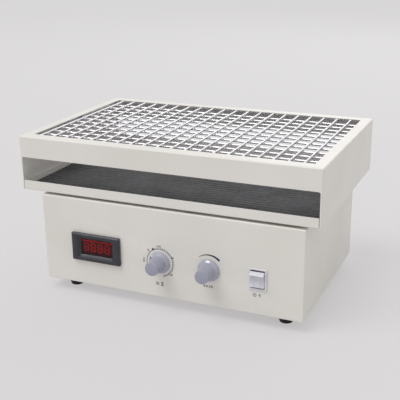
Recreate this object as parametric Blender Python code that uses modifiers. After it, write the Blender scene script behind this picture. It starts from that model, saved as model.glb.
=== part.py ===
# Reciprocating laboratory shaker: a spring-net tray that slides left and right
# on a folded steel base with a timer knob, a speed knob, a meter and a switch.
# Frame: +X to the right, +Y to the back, +Z up, in metres. The origin is the
# middle of the outer box's underside, so the feet stand on the plane z = 0.

import math

import bmesh
import bpy
from mathutils import Matrix, Vector

MM = 0.001

# Clearances that every piece shares
SEAT_GAP = 0.3 * MM
CUT_OVERRUN = 2 * MM
MERGE_LIMIT = 0.01 * MM

# Tray: a folded frame, a pan with upturned lips and a ribbed mat
TRAY_WIDTH = 455 * MM
TRAY_DEPTH = 290 * MM
TRAY_HEIGHT = 81 * MM
TRAY_SHEET = 1.2 * MM
TRAY_BEND = 2.5 * MM
BAND_HEIGHT = 31.6 * MM
LIP_HEIGHT = 14.2 * MM
SIDE_FLANGE = 15.5 * MM
END_FLANGE = 17 * MM
WALL_RETURN = 3 * MM
LIP_SLIT = 0.8 * MM
PAN_SIDE_HEIGHT = 12 * MM
PAN_BEND = 1.8 * MM
CORNER_RELIEF = 4 * MM
SLOT_CORNER = 2.5 * MM
OPENING_CORNER = 1.5 * MM
MAT_THICKNESS = 3 * MM
MAT_RIB_HEIGHT = 0.8 * MM
MAT_RIB_PITCH = 9 * MM
MAT_RIB_WIDTH = 5 * MM
MAT_MARGIN = 1.5 * MM

# Spring net: close-wound springs in two layers, hooked round one rail
SPRING_DIAMETER = 3.4 * MM
SPRING_WIRE = 0.7 * MM
FRONT_BACK_SPRINGS = 20
FRONT_BACK_MARGIN = 12.5 * MM
FRONT_BACK_SHIFT = -3 * MM
CROSS_SPRINGS = 11
CROSS_MARGIN = 22 * MM
CROSS_SHIFT = 3 * MM
NET_CLEARANCE = 0.4 * MM
RAIL_SETBACK = 6.5 * MM
RAIL_CORNER = 6 * MM
BODY_STOP = 1 * MM
CROSS_BODY_REACH = 1.5 * MM
SPRING_SHOULDER = 1.4 * MM
HOOK_STEPS = 6
HOOK_TURN = math.radians(240)
GAP_STEP = 0.5 * MM
GAP_WINDOW = 4.5 * MM
SADDLE_LENGTH = 8 * MM
SADDLE_WIDTH = 8 * MM
SADDLE_WALL = 1.5 * MM

# Base: a folded housing on a bottom plate with four feet
BASE_WIDTH = 403 * MM
BASE_DEPTH = 262 * MM
BASE_HEIGHT = 132 * MM
BASE_SHEET = 1.2 * MM
BASE_BEND = 2.5 * MM
BASE_AHEAD = 0
TRAY_GAP = 3.8 * MM
PLATE_THICKNESS = 1.5 * MM
PLATE_REVEAL = 1.2 * MM
FOOT_HEIGHT = 16.5 * MM
FOOT_TOP_DIAMETER = 26 * MM
FOOT_BOTTOM_DIAMETER = 18 * MM
FOOT_RIM = 3 * MM
FOOT_HOLE_DIAMETER = 8 * MM
FOOT_HOLE_DEPTH = 9 * MM
FOOT_CHAMFER = 1 * MM
FOOT_INSET_X = 33 * MM
FOOT_INSET_Y = 30 * MM

# Drive: stroke, guide rods, carriage, crank, belt and motor
STROKE = 20 * MM
REST_SHIFT = -6.5 * MM
ROD_DIAMETER = 12 * MM
ROD_END = 8 * MM
ROD_CHAMFER = 1 * MM
BUSH_LENGTH = 30 * MM
BUSH_WALL = 7 * MM
BUSH_SPACING = 140 * MM
CARRIAGE_DEPTH_BELOW = 6 * MM
CARRIAGE_THICKNESS = 3 * MM
CARRIAGE_MARGIN = 8 * MM
CARRIAGE_CORNER = 10 * MM
POST_DIAMETER = 12 * MM
POST_SPACING = 180 * MM
POST_CLEARANCE = 2 * MM
FRAME_SIDE_SETBACK = 51.5 * MM
FRAME_END_SETBACK = 43 * MM
FRAME_SHEET = 3 * MM
FRAME_BEND = 5 * MM
FRAME_MARGIN = 12 * MM
ROD_LENGTH = 110 * MM
ROD_THICKNESS = 6 * MM
ROD_BIG_EYE = 13 * MM
ROD_SMALL_EYE = 11 * MM
ROD_DROP = 3 * MM
STUD_DIAMETER = 10 * MM
STUD_WASHER = 14 * MM
STUD_WASHER_HEIGHT = 3 * MM
PIN_DIAMETER = 8 * MM
PIN_HEAD_DIAMETER = 12 * MM
PIN_HEAD_HEIGHT = 2.2 * MM
PIN_BOSS_DIAMETER = 14 * MM
PIN_BOSS_HEIGHT = 3 * MM
CRANK_SETBACK = 90 * MM
CRANK_CLEARANCE = 7 * MM
CRANK_THICKNESS = 14 * MM
CRANK_WEB = 5 * MM
CRANK_RIM_WALL = 4 * MM
CRANK_HUB_RADIUS = 16 * MM
SPINDLE_DIAMETER = 10 * MM
SPINDLE_DEPTH = 45 * MM
SPINDLE_COLUMN = 17 * MM
SPINDLE_FLANGE = 32 * MM
SPINDLE_FLANGE_HEIGHT = 6 * MM
BELT_DIAMETER = 5 * MM
BELT_CLEARANCE = 0.8 * MM
BELT_SEAT = 4 * MM
BELT_MOTOR_RADIUS = 14 * MM
GROOVE_FLARE = 0.9 * MM
MOTOR_SETBACK = 55 * MM
MOTOR_DIAMETER = 70 * MM
MOTOR_HEIGHT = 82 * MM
MOTOR_CHAMFER = 4 * MM
MOTOR_BOSS_RADIUS = 11 * MM
MOTOR_BOSS_HEIGHT = 4 * MM
MOTOR_SHAFT = 8 * MM
MOTOR_SHAFT_DEPTH = 20 * MM
MOTOR_PULLEY_WALL = 4 * MM

# Front panel: places are from the housing's sides or its centre line, and from its top
METER_INSET = 89.3 * MM
METER_DROP = 73 * MM
METER_WIDTH = 79 * MM
METER_HEIGHT = 42.6 * MM
METER_BEZEL = 5.5 * MM
METER_CHAMFER = 1.6 * MM
METER_BODY_WIDTH = 75 * MM
METER_BODY_HEIGHT = 38.6 * MM
METER_BODY_DEPTH = 27 * MM
METER_WINDOW_WIDTH = 51 * MM
METER_WINDOW_HEIGHT = 24 * MM
METER_WINDOW_RECESS = 4 * MM
METER_WINDOW_SLOPE = 4 * MM
METER_LENS = 1.5 * MM
KNOB_REACH = 27 * MM
KNOB_SKIRT_DIAMETER = 32 * MM
KNOB_SKIRT_RIM = 1.6 * MM
KNOB_SKIRT_HEIGHT = 4.6 * MM
KNOB_GRIP_DIAMETER = 23.2 * MM
KNOB_GRIP_TIP = 20.4 * MM
KNOB_STANDOFF = 0.8 * MM
KNOB_FLUTES = 30
KNOB_FLUTE_DEPTH = 0.6 * MM
KNOB_CAP_EDGE = 0.8 * MM
SHAFT_DIAMETER = 6 * MM
SHAFT_DEPTH = 10 * MM
PANEL_HOLE = 10 * MM
TIMER_X = -10.2 * MM
TIMER_DROP = 79 * MM
TIMER_CASE_DIAMETER = 50 * MM
TIMER_CASE_DEPTH = 30 * MM
SPEED_X = 65 * MM
SPEED_DROP = 78.5 * MM
POT_DIAMETER = 24 * MM
POT_DEPTH = 16 * MM
SWITCH_INSET = 65 * MM
SWITCH_DROP = 79.7 * MM
SWITCH_WIDTH = 26 * MM
SWITCH_HEIGHT = 32 * MM
SWITCH_BEZEL = 2 * MM
SWITCH_CHAMFER = 0.7 * MM
SWITCH_BODY_WIDTH = 23.4 * MM
SWITCH_BODY_HEIGHT = 29.2 * MM
SWITCH_BODY_DEPTH = 24 * MM
SWITCH_POCKET_DEPTH = 14 * MM
SWITCH_STRIP = 2.6 * MM
ROCKER_TILT = math.radians(12)
ROCKER_HALF_HEIGHT = 12 * MM
ROCKER_CREST = 6.4 * MM
ROCKER_CREST_LENGTH = 2.5 * MM
ROCKER_SHOULDER = 0.8 * MM
ROCKER_VALLEY = 2.4 * MM
ROCKER_BACK = 5 * MM
ROCKER_BACK_HALF_HEIGHT = 7 * MM
ROCKER_SCOOP_STEPS = 8

# Back panel and inside: places are from the housing's left side and its top
INLET_INSET = 51.5 * MM
INLET_DROP = 95 * MM
INLET_WIDTH = 31 * MM
INLET_HEIGHT = 24 * MM
INLET_BEZEL = 3 * MM
INLET_BODY_WIDTH = 27 * MM
INLET_BODY_HEIGHT = 20 * MM
INLET_BODY_DEPTH = 20 * MM
INLET_POCKET_WIDTH = 24 * MM
INLET_POCKET_HEIGHT = 16.4 * MM
INLET_POCKET_DEPTH = 15 * MM
INLET_CORNER = 4 * MM
FUSE_INSET = 96.5 * MM
FUSE_CAP_DIAMETER = 16 * MM
FUSE_CAP_HEIGHT = 7 * MM
FUSE_BODY_DIAMETER = 12 * MM
FUSE_BODY_DEPTH = 30 * MM
FUSE_SLOT_WIDTH = 1.6 * MM
FUSE_SLOT_DEPTH = 1.2 * MM
BOARD_GAP = 4.3 * MM
BOARD_WIDTH = 38 * MM
BOARD_LENGTH = 120 * MM
BOARD_THICKNESS = 1.6 * MM
BOARD_STANDOFF = 8 * MM
BOARD_POST_DIAMETER = 6 * MM
BOARD_POST_INSET = 6 * MM
TRANSFORMER_SIZE = 30 * MM
TRANSFORMER_HEIGHT = 26 * MM
CAPACITOR_DIAMETER = 14 * MM
CAPACITOR_HEIGHT = 24 * MM

# How finely round pieces are faceted
ROUND_STEPS = 24
FINE_STEPS = 36
SMALL_STEPS = 16
BEND_STEPS = 3

# Levels and lines worked out from the sizes above
plate_bottom = FOOT_HEIGHT + SEAT_GAP
plate_top = plate_bottom + PLATE_THICKNESS
base_bottom = plate_bottom + PLATE_REVEAL
base_top = base_bottom + BASE_HEIGHT
tray_bottom = base_top + TRAY_GAP
tray_top = tray_bottom + TRAY_HEIGHT
overall_depth = KNOB_REACH + BASE_AHEAD + TRAY_DEPTH
panel_y = KNOB_REACH - overall_depth / 2
tray_front = panel_y + BASE_AHEAD
tray_back = tray_front + TRAY_DEPTH
tray_y = (tray_front + tray_back) / 2
base_x = -REST_SHIFT
base_back = panel_y + BASE_DEPTH
base_y = (panel_y + base_back) / 2
opening_half_width = TRAY_WIDTH / 2 - SIDE_FLANGE
opening_half_depth = TRAY_DEPTH / 2 - END_FLANGE
meter_x = METER_INSET - BASE_WIDTH / 2
switch_x = BASE_WIDTH / 2 - SWITCH_INSET
inlet_x = INLET_INSET - BASE_WIDTH / 2
fuse_x = FUSE_INSET - BASE_WIDTH / 2
board_x = BASE_SHEET + BOARD_GAP + BOARD_WIDTH / 2 - BASE_WIDTH / 2

# Spring net levels
spring_radius = SPRING_DIAMETER / 2
wire_radius = SPRING_WIRE / 2
layer_step = SPRING_DIAMETER + NET_CLEARANCE
hook_radius = layer_step / 2
rail_radius = hook_radius - SEAT_GAP - wire_radius
upper_layer = tray_top - TRAY_SHEET - SEAT_GAP - wire_radius
rail_level = upper_layer - hook_radius
lower_layer = rail_level - hook_radius
rail_half_width = opening_half_width + RAIL_SETBACK
rail_half_depth = opening_half_depth + RAIL_SETBACK
front_back_pitch = 2 * (opening_half_width - FRONT_BACK_MARGIN) / (FRONT_BACK_SPRINGS - 1)
cross_pitch = 2 * (opening_half_depth - CROSS_MARGIN) / (CROSS_SPRINGS - 1)

# Drive levels and places
frame_length = BASE_WIDTH - 2 * FRAME_SIDE_SETBACK
frame_half_depth = BASE_DEPTH / 2 - FRAME_END_SETBACK
rod_spacing = 2 * (frame_half_depth - FRAME_MARGIN) - ROD_DIAMETER
carriage_top = base_top - BASE_SHEET - CARRIAGE_DEPTH_BELOW
carriage_bottom = carriage_top - CARRIAGE_THICKNESS
bush_radius = ROD_DIAMETER / 2 + BUSH_WALL
guide_level = carriage_bottom - SEAT_GAP - bush_radius
rod_top = carriage_bottom - ROD_DROP
rod_bottom = rod_top - ROD_THICKNESS
crank_top = rod_bottom - PIN_BOSS_HEIGHT - 2 * SEAT_GAP
crank_bottom = crank_top - CRANK_THICKNESS
belt_level = (crank_top + crank_bottom) / 2
drive_floor = plate_top + SEAT_GAP
drive_deck = drive_floor + FRAME_SHEET
crank_rim = rod_spacing / 2 - bush_radius - CRANK_CLEARANCE
crank_pitch_radius = crank_rim - BELT_SEAT
crank_x = base_x + CRANK_SETBACK - frame_length / 2
crank_y = base_y
motor_x = base_x + frame_length / 2 - MOTOR_SETBACK
crank_radius = STROKE / 2
stud_x = crank_x + ROD_LENGTH + REST_SHIFT
stud_reach = stud_x - crank_x
crank_angle = math.acos(
    (crank_radius ** 2 + stud_reach ** 2 - ROD_LENGTH ** 2)
    / (2 * crank_radius * stud_reach))
pin_x = crank_x + crank_radius * math.cos(crank_angle)
pin_y = crank_y + crank_radius * math.sin(crank_angle)
rod_angle = math.atan2(pin_y - crank_y, pin_x - stud_x)


# Scene set-up

for old in list(bpy.data.objects):
    bpy.data.objects.remove(old, do_unlink=True)

shaker = bpy.data.collections.new("laboratory_shaker")
cutters = bpy.data.collections.new("cutters")
bpy.context.scene.collection.children.link(shaker)
bpy.context.scene.collection.children.link(cutters)


def material(name, color, roughness, metallic):
    made = bpy.data.materials.new(name)
    made.use_nodes = True
    shader = made.node_tree.nodes["Principled BSDF"]
    shader.inputs["Base Color"].default_value = (*color, 1)
    shader.inputs["Roughness"].default_value = roughness
    shader.inputs["Metallic"].default_value = metallic
    made.diffuse_color = (*color, 1)
    return made


PAINT = material("ivory_paint", (0.62, 0.6, 0.56), 0.45, 0)
MAT_RUBBER = material("mat_rubber", (0.11, 0.11, 0.12), 0.8, 0)
FOOT_RUBBER = material("foot_rubber", (0.02, 0.02, 0.02), 0.7, 0)
SPRING_STEEL = material("spring_steel", (0.75, 0.76, 0.8), 0.25, 1)
PLAIN_STEEL = material("plain_steel", (0.5, 0.5, 0.52), 0.35, 1)
CAST_METAL = material("cast_metal", (0.35, 0.36, 0.38), 0.5, 1)
KNOB_PLASTIC = material("knob_plastic", (0.4, 0.41, 0.5), 0.4, 0)
SWITCH_PLASTIC = material("switch_plastic", (0.7, 0.7, 0.73), 0.35, 0)
METER_PLASTIC = material("meter_plastic", (0.03, 0.03, 0.04), 0.4, 0)
METER_LENS_RED = material("meter_lens", (0.12, 0.005, 0.01), 0.15, 0)
BLACK_PLASTIC = material("black_plastic", (0.02, 0.02, 0.02), 0.5, 0)
BOARD_GREEN = material("board_green", (0.02, 0.12, 0.05), 0.5, 0)
BELT_RUBBER = material("belt_rubber", (0.03, 0.03, 0.03), 0.8, 0)


# Modelling helpers

def place(made, group, finish=None):
    group.objects.link(made)
    if finish:
        made.data.materials.append(finish)
    if group is cutters:
        made.hide_render = True
        made.display_type = "WIRE"
    return made


def from_bmesh(name, shape, finish=None, group=shaker):
    data = bpy.data.meshes.new(name)
    shape.to_mesh(data)
    shape.free()
    return place(bpy.data.objects.new(name, data), group, finish)


def box(name, size, centre, finish=None, group=shaker):
    shape = bmesh.new()
    bmesh.ops.create_cube(shape, size=1, matrix=Matrix.Diagonal((*size, 1)))
    made = from_bmesh(name, shape, finish, group)
    made.location = centre
    return made


def cylinder(name, radius, length, centre, axis="Z", steps=ROUND_STEPS, finish=None, group=cutters):
    shape = bmesh.new()
    bmesh.ops.create_cone(shape, cap_ends=True, segments=steps, radius1=radius, radius2=radius, depth=length)
    made = from_bmesh(name, shape, finish, group)
    made.location = centre
    turns = {"X": (0, math.pi / 2, 0), "Y": (math.pi / 2, 0, 0), "Z": (0, 0, 0)}
    made.rotation_euler = turns[axis]
    return made


def combine(made, other, how):
    step = made.modifiers.new(how.lower(), "BOOLEAN")
    step.operation = how
    step.object = other
    step.solver = "EXACT"
    return made


def cut(made, other):
    return combine(made, other, "DIFFERENCE")


def fuse(made, other):
    return combine(made, other, "UNION")


def bevel(made, width, segments=BEND_STEPS, angle=math.radians(40)):
    step = made.modifiers.new("bevel", "BEVEL")
    step.width = width
    step.segments = segments
    step.limit_method = "ANGLE"
    step.angle_limit = angle
    step.use_clamp_overlap = True
    return made


def thicken(made, thickness):
    step = made.modifiers.new("sheet", "SOLIDIFY")
    step.thickness = thickness
    step.offset = -1
    step.use_even_offset = True
    return made


def turned(name, profile, finish, steps=ROUND_STEPS, group=shaker):
    shape = bmesh.new()
    points = [shape.verts.new((radius, 0, level)) for radius, level in profile]
    for first, second in zip(points, points[1:]):
        shape.edges.new((first, second))
    made = from_bmesh(name, shape, finish, group)
    step = made.modifiers.new("turn", "SCREW")
    step.angle = 2 * math.pi
    step.steps = steps
    step.render_steps = steps
    step.use_merge_vertices = True
    step.merge_threshold = MERGE_LIMIT
    step.use_smooth_shade = False
    return made


def as_mesh(curve_object, group, finish=None):
    bpy.context.view_layer.update()
    graph = bpy.context.evaluated_depsgraph_get()
    data = bpy.data.meshes.new_from_object(curve_object.evaluated_get(graph))
    shape = bmesh.new()
    shape.from_mesh(data)
    bmesh.ops.remove_doubles(shape, verts=shape.verts, dist=MERGE_LIMIT)
    shape.to_mesh(data)
    shape.free()
    name = curve_object.name
    world = curve_object.matrix_world.copy()
    bpy.data.objects.remove(curve_object, do_unlink=True)
    data.materials.clear()
    made = bpy.data.objects.new(name, data)
    place(made, group, finish)
    made.matrix_world = world
    return made


def plate_curve(name, outlines, thickness):
    data = bpy.data.curves.new(name, "CURVE")
    data.dimensions = "2D"
    data.fill_mode = "BOTH"
    data.extrude = thickness / 2
    for outline in outlines:
        line = data.splines.new("POLY")
        line.points.add(len(outline) - 1)
        for point, (across, along) in zip(line.points, outline):
            point.co = (across, along, 0, 1)
        line.use_cyclic_u = True
    return bpy.data.objects.new(name, data)


def extruded(name, outlines, thickness, centre, turn=(0, 0, 0), finish=None, group=shaker):
    made = plate_curve(name, outlines, thickness)
    made.location = centre
    made.rotation_euler = turn
    place(made, group)
    return as_mesh(made, group, finish)


def wire(name, points, radii, sides_step=1, cyclic=False, finish=None, group=shaker):
    data = bpy.data.curves.new(name, "CURVE")
    data.dimensions = "3D"
    data.bevel_depth = max(radii)
    data.bevel_resolution = sides_step
    data.use_fill_caps = not cyclic
    line = data.splines.new("POLY")
    line.points.add(len(points) - 1)
    for point, spot, radius in zip(line.points, points, radii):
        point.co = (*spot, 1)
        point.radius = radius / max(radii)
    line.use_cyclic_u = cyclic
    return place(bpy.data.objects.new(name, data), group, finish)


def arc(centre, radius, start, sweep, steps):
    spots = []
    for index in range(steps + 1):
        angle = start + sweep * index / steps
        spots.append((centre[0] + radius * math.cos(angle), centre[1] + radius * math.sin(angle)))
    return spots


def rounded_outline(half_width, half_height, corner, steps=BEND_STEPS):
    quarter = math.pi / 2
    outline = []
    signs = ((1, 1), (-1, 1), (-1, -1), (1, -1))
    for turn, (across, along) in enumerate(signs):
        centre = (across * (half_width - corner), along * (half_height - corner))
        outline += arc(centre, corner, turn * quarter, quarter, steps)
    return outline


def circle(radius, steps=ROUND_STEPS, centre=(0, 0)):
    return arc(centre, radius, 0, 2 * math.pi, steps)[:-1]


# Tray

def open_shell(name, width, depth, height, centre_x, centre_y, bottom, finish):
    shape = bmesh.new()
    bmesh.ops.create_cube(shape, size=1, matrix=Matrix.Diagonal((width, depth, height, 1)))
    low = [face for face in shape.faces if face.normal.z < -0.5]
    bmesh.ops.delete(shape, geom=low, context="FACES_ONLY")
    made = from_bmesh(name, shape, finish)
    made.location = (centre_x, centre_y, bottom + height / 2)
    return made


def rounded_cutter(name, half_width, half_height, corner, length, centre, turn=(0, 0, 0)):
    outline = rounded_outline(half_width, half_height, corner)
    return extruded(name, [outline], length, centre, turn, None, cutters)


def make_tray_frame():
    frame = open_shell("tray_frame", TRAY_WIDTH, TRAY_DEPTH, TRAY_HEIGHT, 0, tray_y, tray_bottom, PAINT)
    bevel(frame, TRAY_BEND)
    thicken(frame, TRAY_SHEET)
    net_opening = rounded_cutter(
        "net_opening_cutter", opening_half_width, opening_half_depth, OPENING_CORNER,
        2 * TRAY_BEND, (0, tray_y, tray_top))
    slot_half_width = TRAY_WIDTH / 2 - WALL_RETURN
    slot_top = tray_top - BAND_HEIGHT
    slot_bottom = tray_bottom - CUT_OVERRUN
    slot_half_height = (slot_top - slot_bottom) / 2
    slots = rounded_cutter(
        "slot_cutter", slot_half_width, slot_half_height, SLOT_CORNER,
        TRAY_DEPTH + 2 * CUT_OVERRUN, (0, tray_y, slot_bottom + slot_half_height), (math.pi / 2, 0, 0))
    cut(frame, net_opening)
    cut(frame, slots)
    return frame


def make_tray_floor():
    floor_half_width = TRAY_WIDTH / 2 - TRAY_SHEET - SEAT_GAP
    lip_half_width = TRAY_WIDTH / 2 - WALL_RETURN - LIP_SLIT
    half_depth = TRAY_DEPTH / 2
    side_half_depth = half_depth - CORNER_RELIEF
    shape = bmesh.new()
    outline = [
        (-lip_half_width, -half_depth), (lip_half_width, -half_depth),
        (lip_half_width, -side_half_depth), (floor_half_width, -side_half_depth),
        (floor_half_width, side_half_depth), (lip_half_width, side_half_depth),
        (lip_half_width, half_depth), (-lip_half_width, half_depth),
        (-lip_half_width, side_half_depth), (-floor_half_width, side_half_depth),
        (-floor_half_width, -side_half_depth), (-lip_half_width, -side_half_depth),
    ]
    ring = [shape.verts.new((across, along, 0)) for across, along in outline]
    shape.faces.new(list(reversed(ring)))
    folds = {0: LIP_HEIGHT, 6: LIP_HEIGHT, 3: PAN_SIDE_HEIGHT, 9: PAN_SIDE_HEIGHT}
    for start, rise in folds.items():
        first = ring[start]
        second = ring[start + 1]
        upper = [shape.verts.new(vert.co + Vector((0, 0, rise))) for vert in (second, first)]
        shape.faces.new((first, second, *upper))
    floor = from_bmesh("tray_floor", shape, PAINT)
    floor.location = (0, tray_y, tray_bottom)
    bevel(floor, PAN_BEND)
    thicken(floor, TRAY_SHEET)
    return floor


def make_mat():
    half_depth = TRAY_DEPTH / 2 - TRAY_SHEET - PAN_BEND - SEAT_GAP - MAT_MARGIN
    half_width = TRAY_WIDTH / 2 - 2 * TRAY_SHEET - PAN_BEND - 2 * SEAT_GAP
    ribs = int((2 * half_depth - MAT_RIB_WIDTH) / MAT_RIB_PITCH) + 1
    first = -MAT_RIB_PITCH * (ribs - 1) / 2
    base = MAT_THICKNESS - MAT_RIB_HEIGHT
    outline = [(-half_depth, 0), (half_depth, 0), (half_depth, base)]
    for index in reversed(range(ribs)):
        middle = first + index * MAT_RIB_PITCH
        for side, level in ((1, base), (1, MAT_THICKNESS), (-1, MAT_THICKNESS), (-1, base)):
            outline.append((middle + side * MAT_RIB_WIDTH / 2, level))
    outline.append((-half_depth, base))
    centre = (0, tray_y, tray_bottom + TRAY_SHEET + SEAT_GAP)
    return extruded(
        "rubber_mat", [outline], 2 * half_width, centre, (math.pi / 2, 0, math.pi / 2), MAT_RUBBER)


# Spring net

def hook_path(rail_at, side, closed):
    spots = []
    for index in range(HOOK_STEPS + 1):
        angle = HOOK_TURN * index / HOOK_STEPS
        spots.append((rail_at + hook_radius * math.sin(angle), side * hook_radius * (math.cos(angle) - 1)))
    if closed:
        spots.append((rail_at, -side * hook_radius))
    return spots


def spring_path(body_half, rail_at, side, closed):
    ahead = [(body_half, 0, spring_radius), (body_half + SPRING_SHOULDER, 0, wire_radius)]
    ahead += [(along, rise, wire_radius) for along, rise in hook_path(rail_at, side, closed)]
    behind = [(-along, rise, radius) for along, rise, radius in reversed(ahead)]
    return behind + ahead


def front_back_spring_path():
    return spring_path(opening_half_depth - BODY_STOP, rail_half_depth, 1, False)


def cross_spring_path():
    return spring_path(opening_half_width + CROSS_BODY_REACH, rail_half_width, -1, True)


def least_gap(path):
    spots = []
    travelled = 0
    for (along, rise, radius), (next_along, next_rise, next_radius) in zip(path, path[1:]):
        length = math.hypot(next_along - along, next_rise - rise)
        steps = max(1, int(length / GAP_STEP))
        for index in range(steps):
            share = index / steps
            spots.append((
                along + share * (next_along - along), rise + share * (next_rise - rise),
                radius + share * (next_radius - radius), travelled + share * length))
        travelled += length
    return min(
        math.hypot(one[0] - other[0], one[1] - other[1]) - one[2] - other[2]
        for one in spots for other in spots
        if other[3] - one[3] > GAP_WINDOW)


def make_front_back_springs():
    path = front_back_spring_path()
    points = [(0, along, rise) for along, rise, radius in path]
    radii = [radius for along, rise, radius in path]
    for index in range(FRONT_BACK_SPRINGS):
        across = FRONT_BACK_SHIFT + (index - (FRONT_BACK_SPRINGS - 1) / 2) * front_back_pitch
        made = wire(f"front_back_spring_{index + 1:02d}", points, radii, finish=SPRING_STEEL)
        made.location = (across, tray_y, upper_layer)


def make_rail():
    corners = rounded_outline(rail_half_width, rail_half_depth, RAIL_CORNER)
    quarter = len(corners) // 4
    stops = [CROSS_SHIFT + (index - CROSS_SPRINGS / 2) * cross_pitch for index in range(CROSS_SPRINGS + 1)]
    left = [(-rail_half_width, along) for along in reversed(stops)]
    right = [(rail_half_width, along) for along in stops]
    outline = corners[:2 * quarter] + left + corners[2 * quarter:] + right
    points = [(across, along, 0) for across, along in outline]
    rail = wire("cross_spring_net", points, [rail_radius] * len(points), cyclic=True)
    rail.location = (0, tray_y, rail_level)
    return as_mesh(rail, shaker, SPRING_STEEL)


def make_cross_springs():
    path = cross_spring_path()
    points = [(along, 0, rise) for along, rise, radius in path]
    radii = [radius for along, rise, radius in path]
    joined = bmesh.new()
    for index in range(CROSS_SPRINGS):
        along = CROSS_SHIFT + (index - (CROSS_SPRINGS - 1) / 2) * cross_pitch
        single = as_mesh(wire("cross_spring", points, radii, group=cutters), cutters)
        single.data.transform(Matrix.Translation((0, along, 0)))
        joined.from_mesh(single.data)
        bpy.data.objects.remove(single, do_unlink=True)
    springs = from_bmesh("cross_springs_joined", joined, None, cutters)
    springs.location = (0, tray_y, lower_layer)
    return springs


def make_saddles():
    saddle_top = tray_top - TRAY_SHEET - SEAT_GAP
    saddle_bottom = rail_level - rail_radius - SEAT_GAP - SADDLE_WALL
    height = saddle_top - saddle_bottom
    level = (saddle_top + saddle_bottom) / 2
    along_front = FRONT_BACK_SHIFT + front_back_pitch / 2 * (FRONT_BACK_SPRINGS % 2)
    along_side = CROSS_SHIFT + cross_pitch / 2 * (CROSS_SPRINGS % 2)
    spots = {
        "front": (along_front, tray_y - rail_half_depth, "X"),
        "back": (along_front, tray_y + rail_half_depth, "X"),
        "left": (-rail_half_width, tray_y + along_side, "Y"),
        "right": (rail_half_width, tray_y + along_side, "Y"),
    }
    bore = rail_radius + SEAT_GAP
    for side, (across, along, axis) in spots.items():
        length = (SADDLE_LENGTH, SADDLE_WIDTH) if axis == "X" else (SADDLE_WIDTH, SADDLE_LENGTH)
        made = box(f"rail_saddle_{side}", (*length, height), (across, along, level), PLAIN_STEEL)
        hole = cylinder(
            f"rail_saddle_{side}_cutter", bore, SADDLE_LENGTH + 2 * CUT_OVERRUN,
            (across, along, rail_level), axis, SMALL_STEPS)
        cut(made, hole)


# Base

def panel_cutter(name, width, height, across, drop, wall_y):
    size = (width + 2 * SEAT_GAP, 2 * (BASE_SHEET + CUT_OVERRUN), height + 2 * SEAT_GAP)
    return box(name, size, (base_x + across, wall_y, base_top - drop), group=cutters)


def make_base_housing():
    housing = open_shell(
        "base_housing", BASE_WIDTH, BASE_DEPTH, BASE_HEIGHT, base_x, base_y, base_bottom, PAINT)
    bevel(housing, BASE_BEND)
    thicken(housing, BASE_SHEET)
    cut(housing, panel_cutter(
        "meter_cutter", METER_BODY_WIDTH, METER_BODY_HEIGHT, meter_x, METER_DROP, panel_y))
    cut(housing, panel_cutter(
        "switch_cutter", SWITCH_BODY_WIDTH, SWITCH_BODY_HEIGHT, switch_x, SWITCH_DROP, panel_y))
    cut(housing, panel_cutter(
        "inlet_cutter", INLET_BODY_WIDTH, INLET_BODY_HEIGHT, inlet_x, INLET_DROP, base_back))
    hole_length = 2 * (BASE_SHEET + CUT_OVERRUN)
    for name, across, drop, wall_y, radius in (
            ("timer_hole_cutter", TIMER_X, TIMER_DROP, panel_y, PANEL_HOLE / 2),
            ("speed_hole_cutter", SPEED_X, SPEED_DROP, panel_y, PANEL_HOLE / 2),
            ("fuse_hole_cutter", fuse_x, INLET_DROP, base_back, FUSE_BODY_DIAMETER / 2 + SEAT_GAP)):
        centre = (base_x + across, wall_y, base_top - drop)
        cut(housing, cylinder(name, radius, hole_length, centre, "Y", SMALL_STEPS))
    slot_half_length = (POST_DIAMETER + STROKE) / 2 + POST_CLEARANCE
    slot_half_width = POST_DIAMETER / 2 + POST_CLEARANCE
    for number, (across, along) in enumerate(post_spots()):
        cut(housing, rounded_cutter(
            f"post_slot_cutter_{number + 1}", slot_half_length, slot_half_width, slot_half_width,
            2 * BASE_BEND, (base_x + across, base_y + along, base_top)))
    return housing


def post_spots():
    half_x = POST_SPACING / 2
    half_y = rod_spacing / 2
    return [(-half_x, -half_y), (half_x, -half_y), (half_x, half_y), (-half_x, half_y)]


def make_bottom_plate():
    width = BASE_WIDTH - 2 * (BASE_SHEET + SEAT_GAP)
    depth = BASE_DEPTH - 2 * (BASE_SHEET + SEAT_GAP)
    outline = rounded_outline(width / 2, depth / 2, BASE_BEND)
    level = (plate_bottom + plate_top) / 2
    return extruded("bottom_plate", [outline], PLATE_THICKNESS, (base_x, base_y, level), finish=PAINT)


def make_feet():
    top = FOOT_TOP_DIAMETER / 2
    bottom = FOOT_BOTTOM_DIAMETER / 2
    hole = FOOT_HOLE_DIAMETER / 2
    profile = [
        (0, FOOT_HEIGHT), (top - FOOT_CHAMFER, FOOT_HEIGHT), (top, FOOT_HEIGHT - FOOT_CHAMFER),
        (top, FOOT_HEIGHT - FOOT_RIM), (bottom + FOOT_CHAMFER, FOOT_CHAMFER), (bottom, 0),
        (hole, 0), (hole, FOOT_HOLE_DEPTH), (0, FOOT_HOLE_DEPTH)]
    half_x = BASE_WIDTH / 2 - FOOT_INSET_X
    front = panel_y + FOOT_INSET_Y
    back = base_back - FOOT_INSET_Y
    for name, across, along in (
            ("foot_front_left", -half_x, front), ("foot_front_right", half_x, front),
            ("foot_back_left", -half_x, back), ("foot_back_right", half_x, back)):
        foot = turned(name, profile, FOOT_RUBBER)
        foot.location = (base_x + across, along, 0)


# Drive

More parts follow.
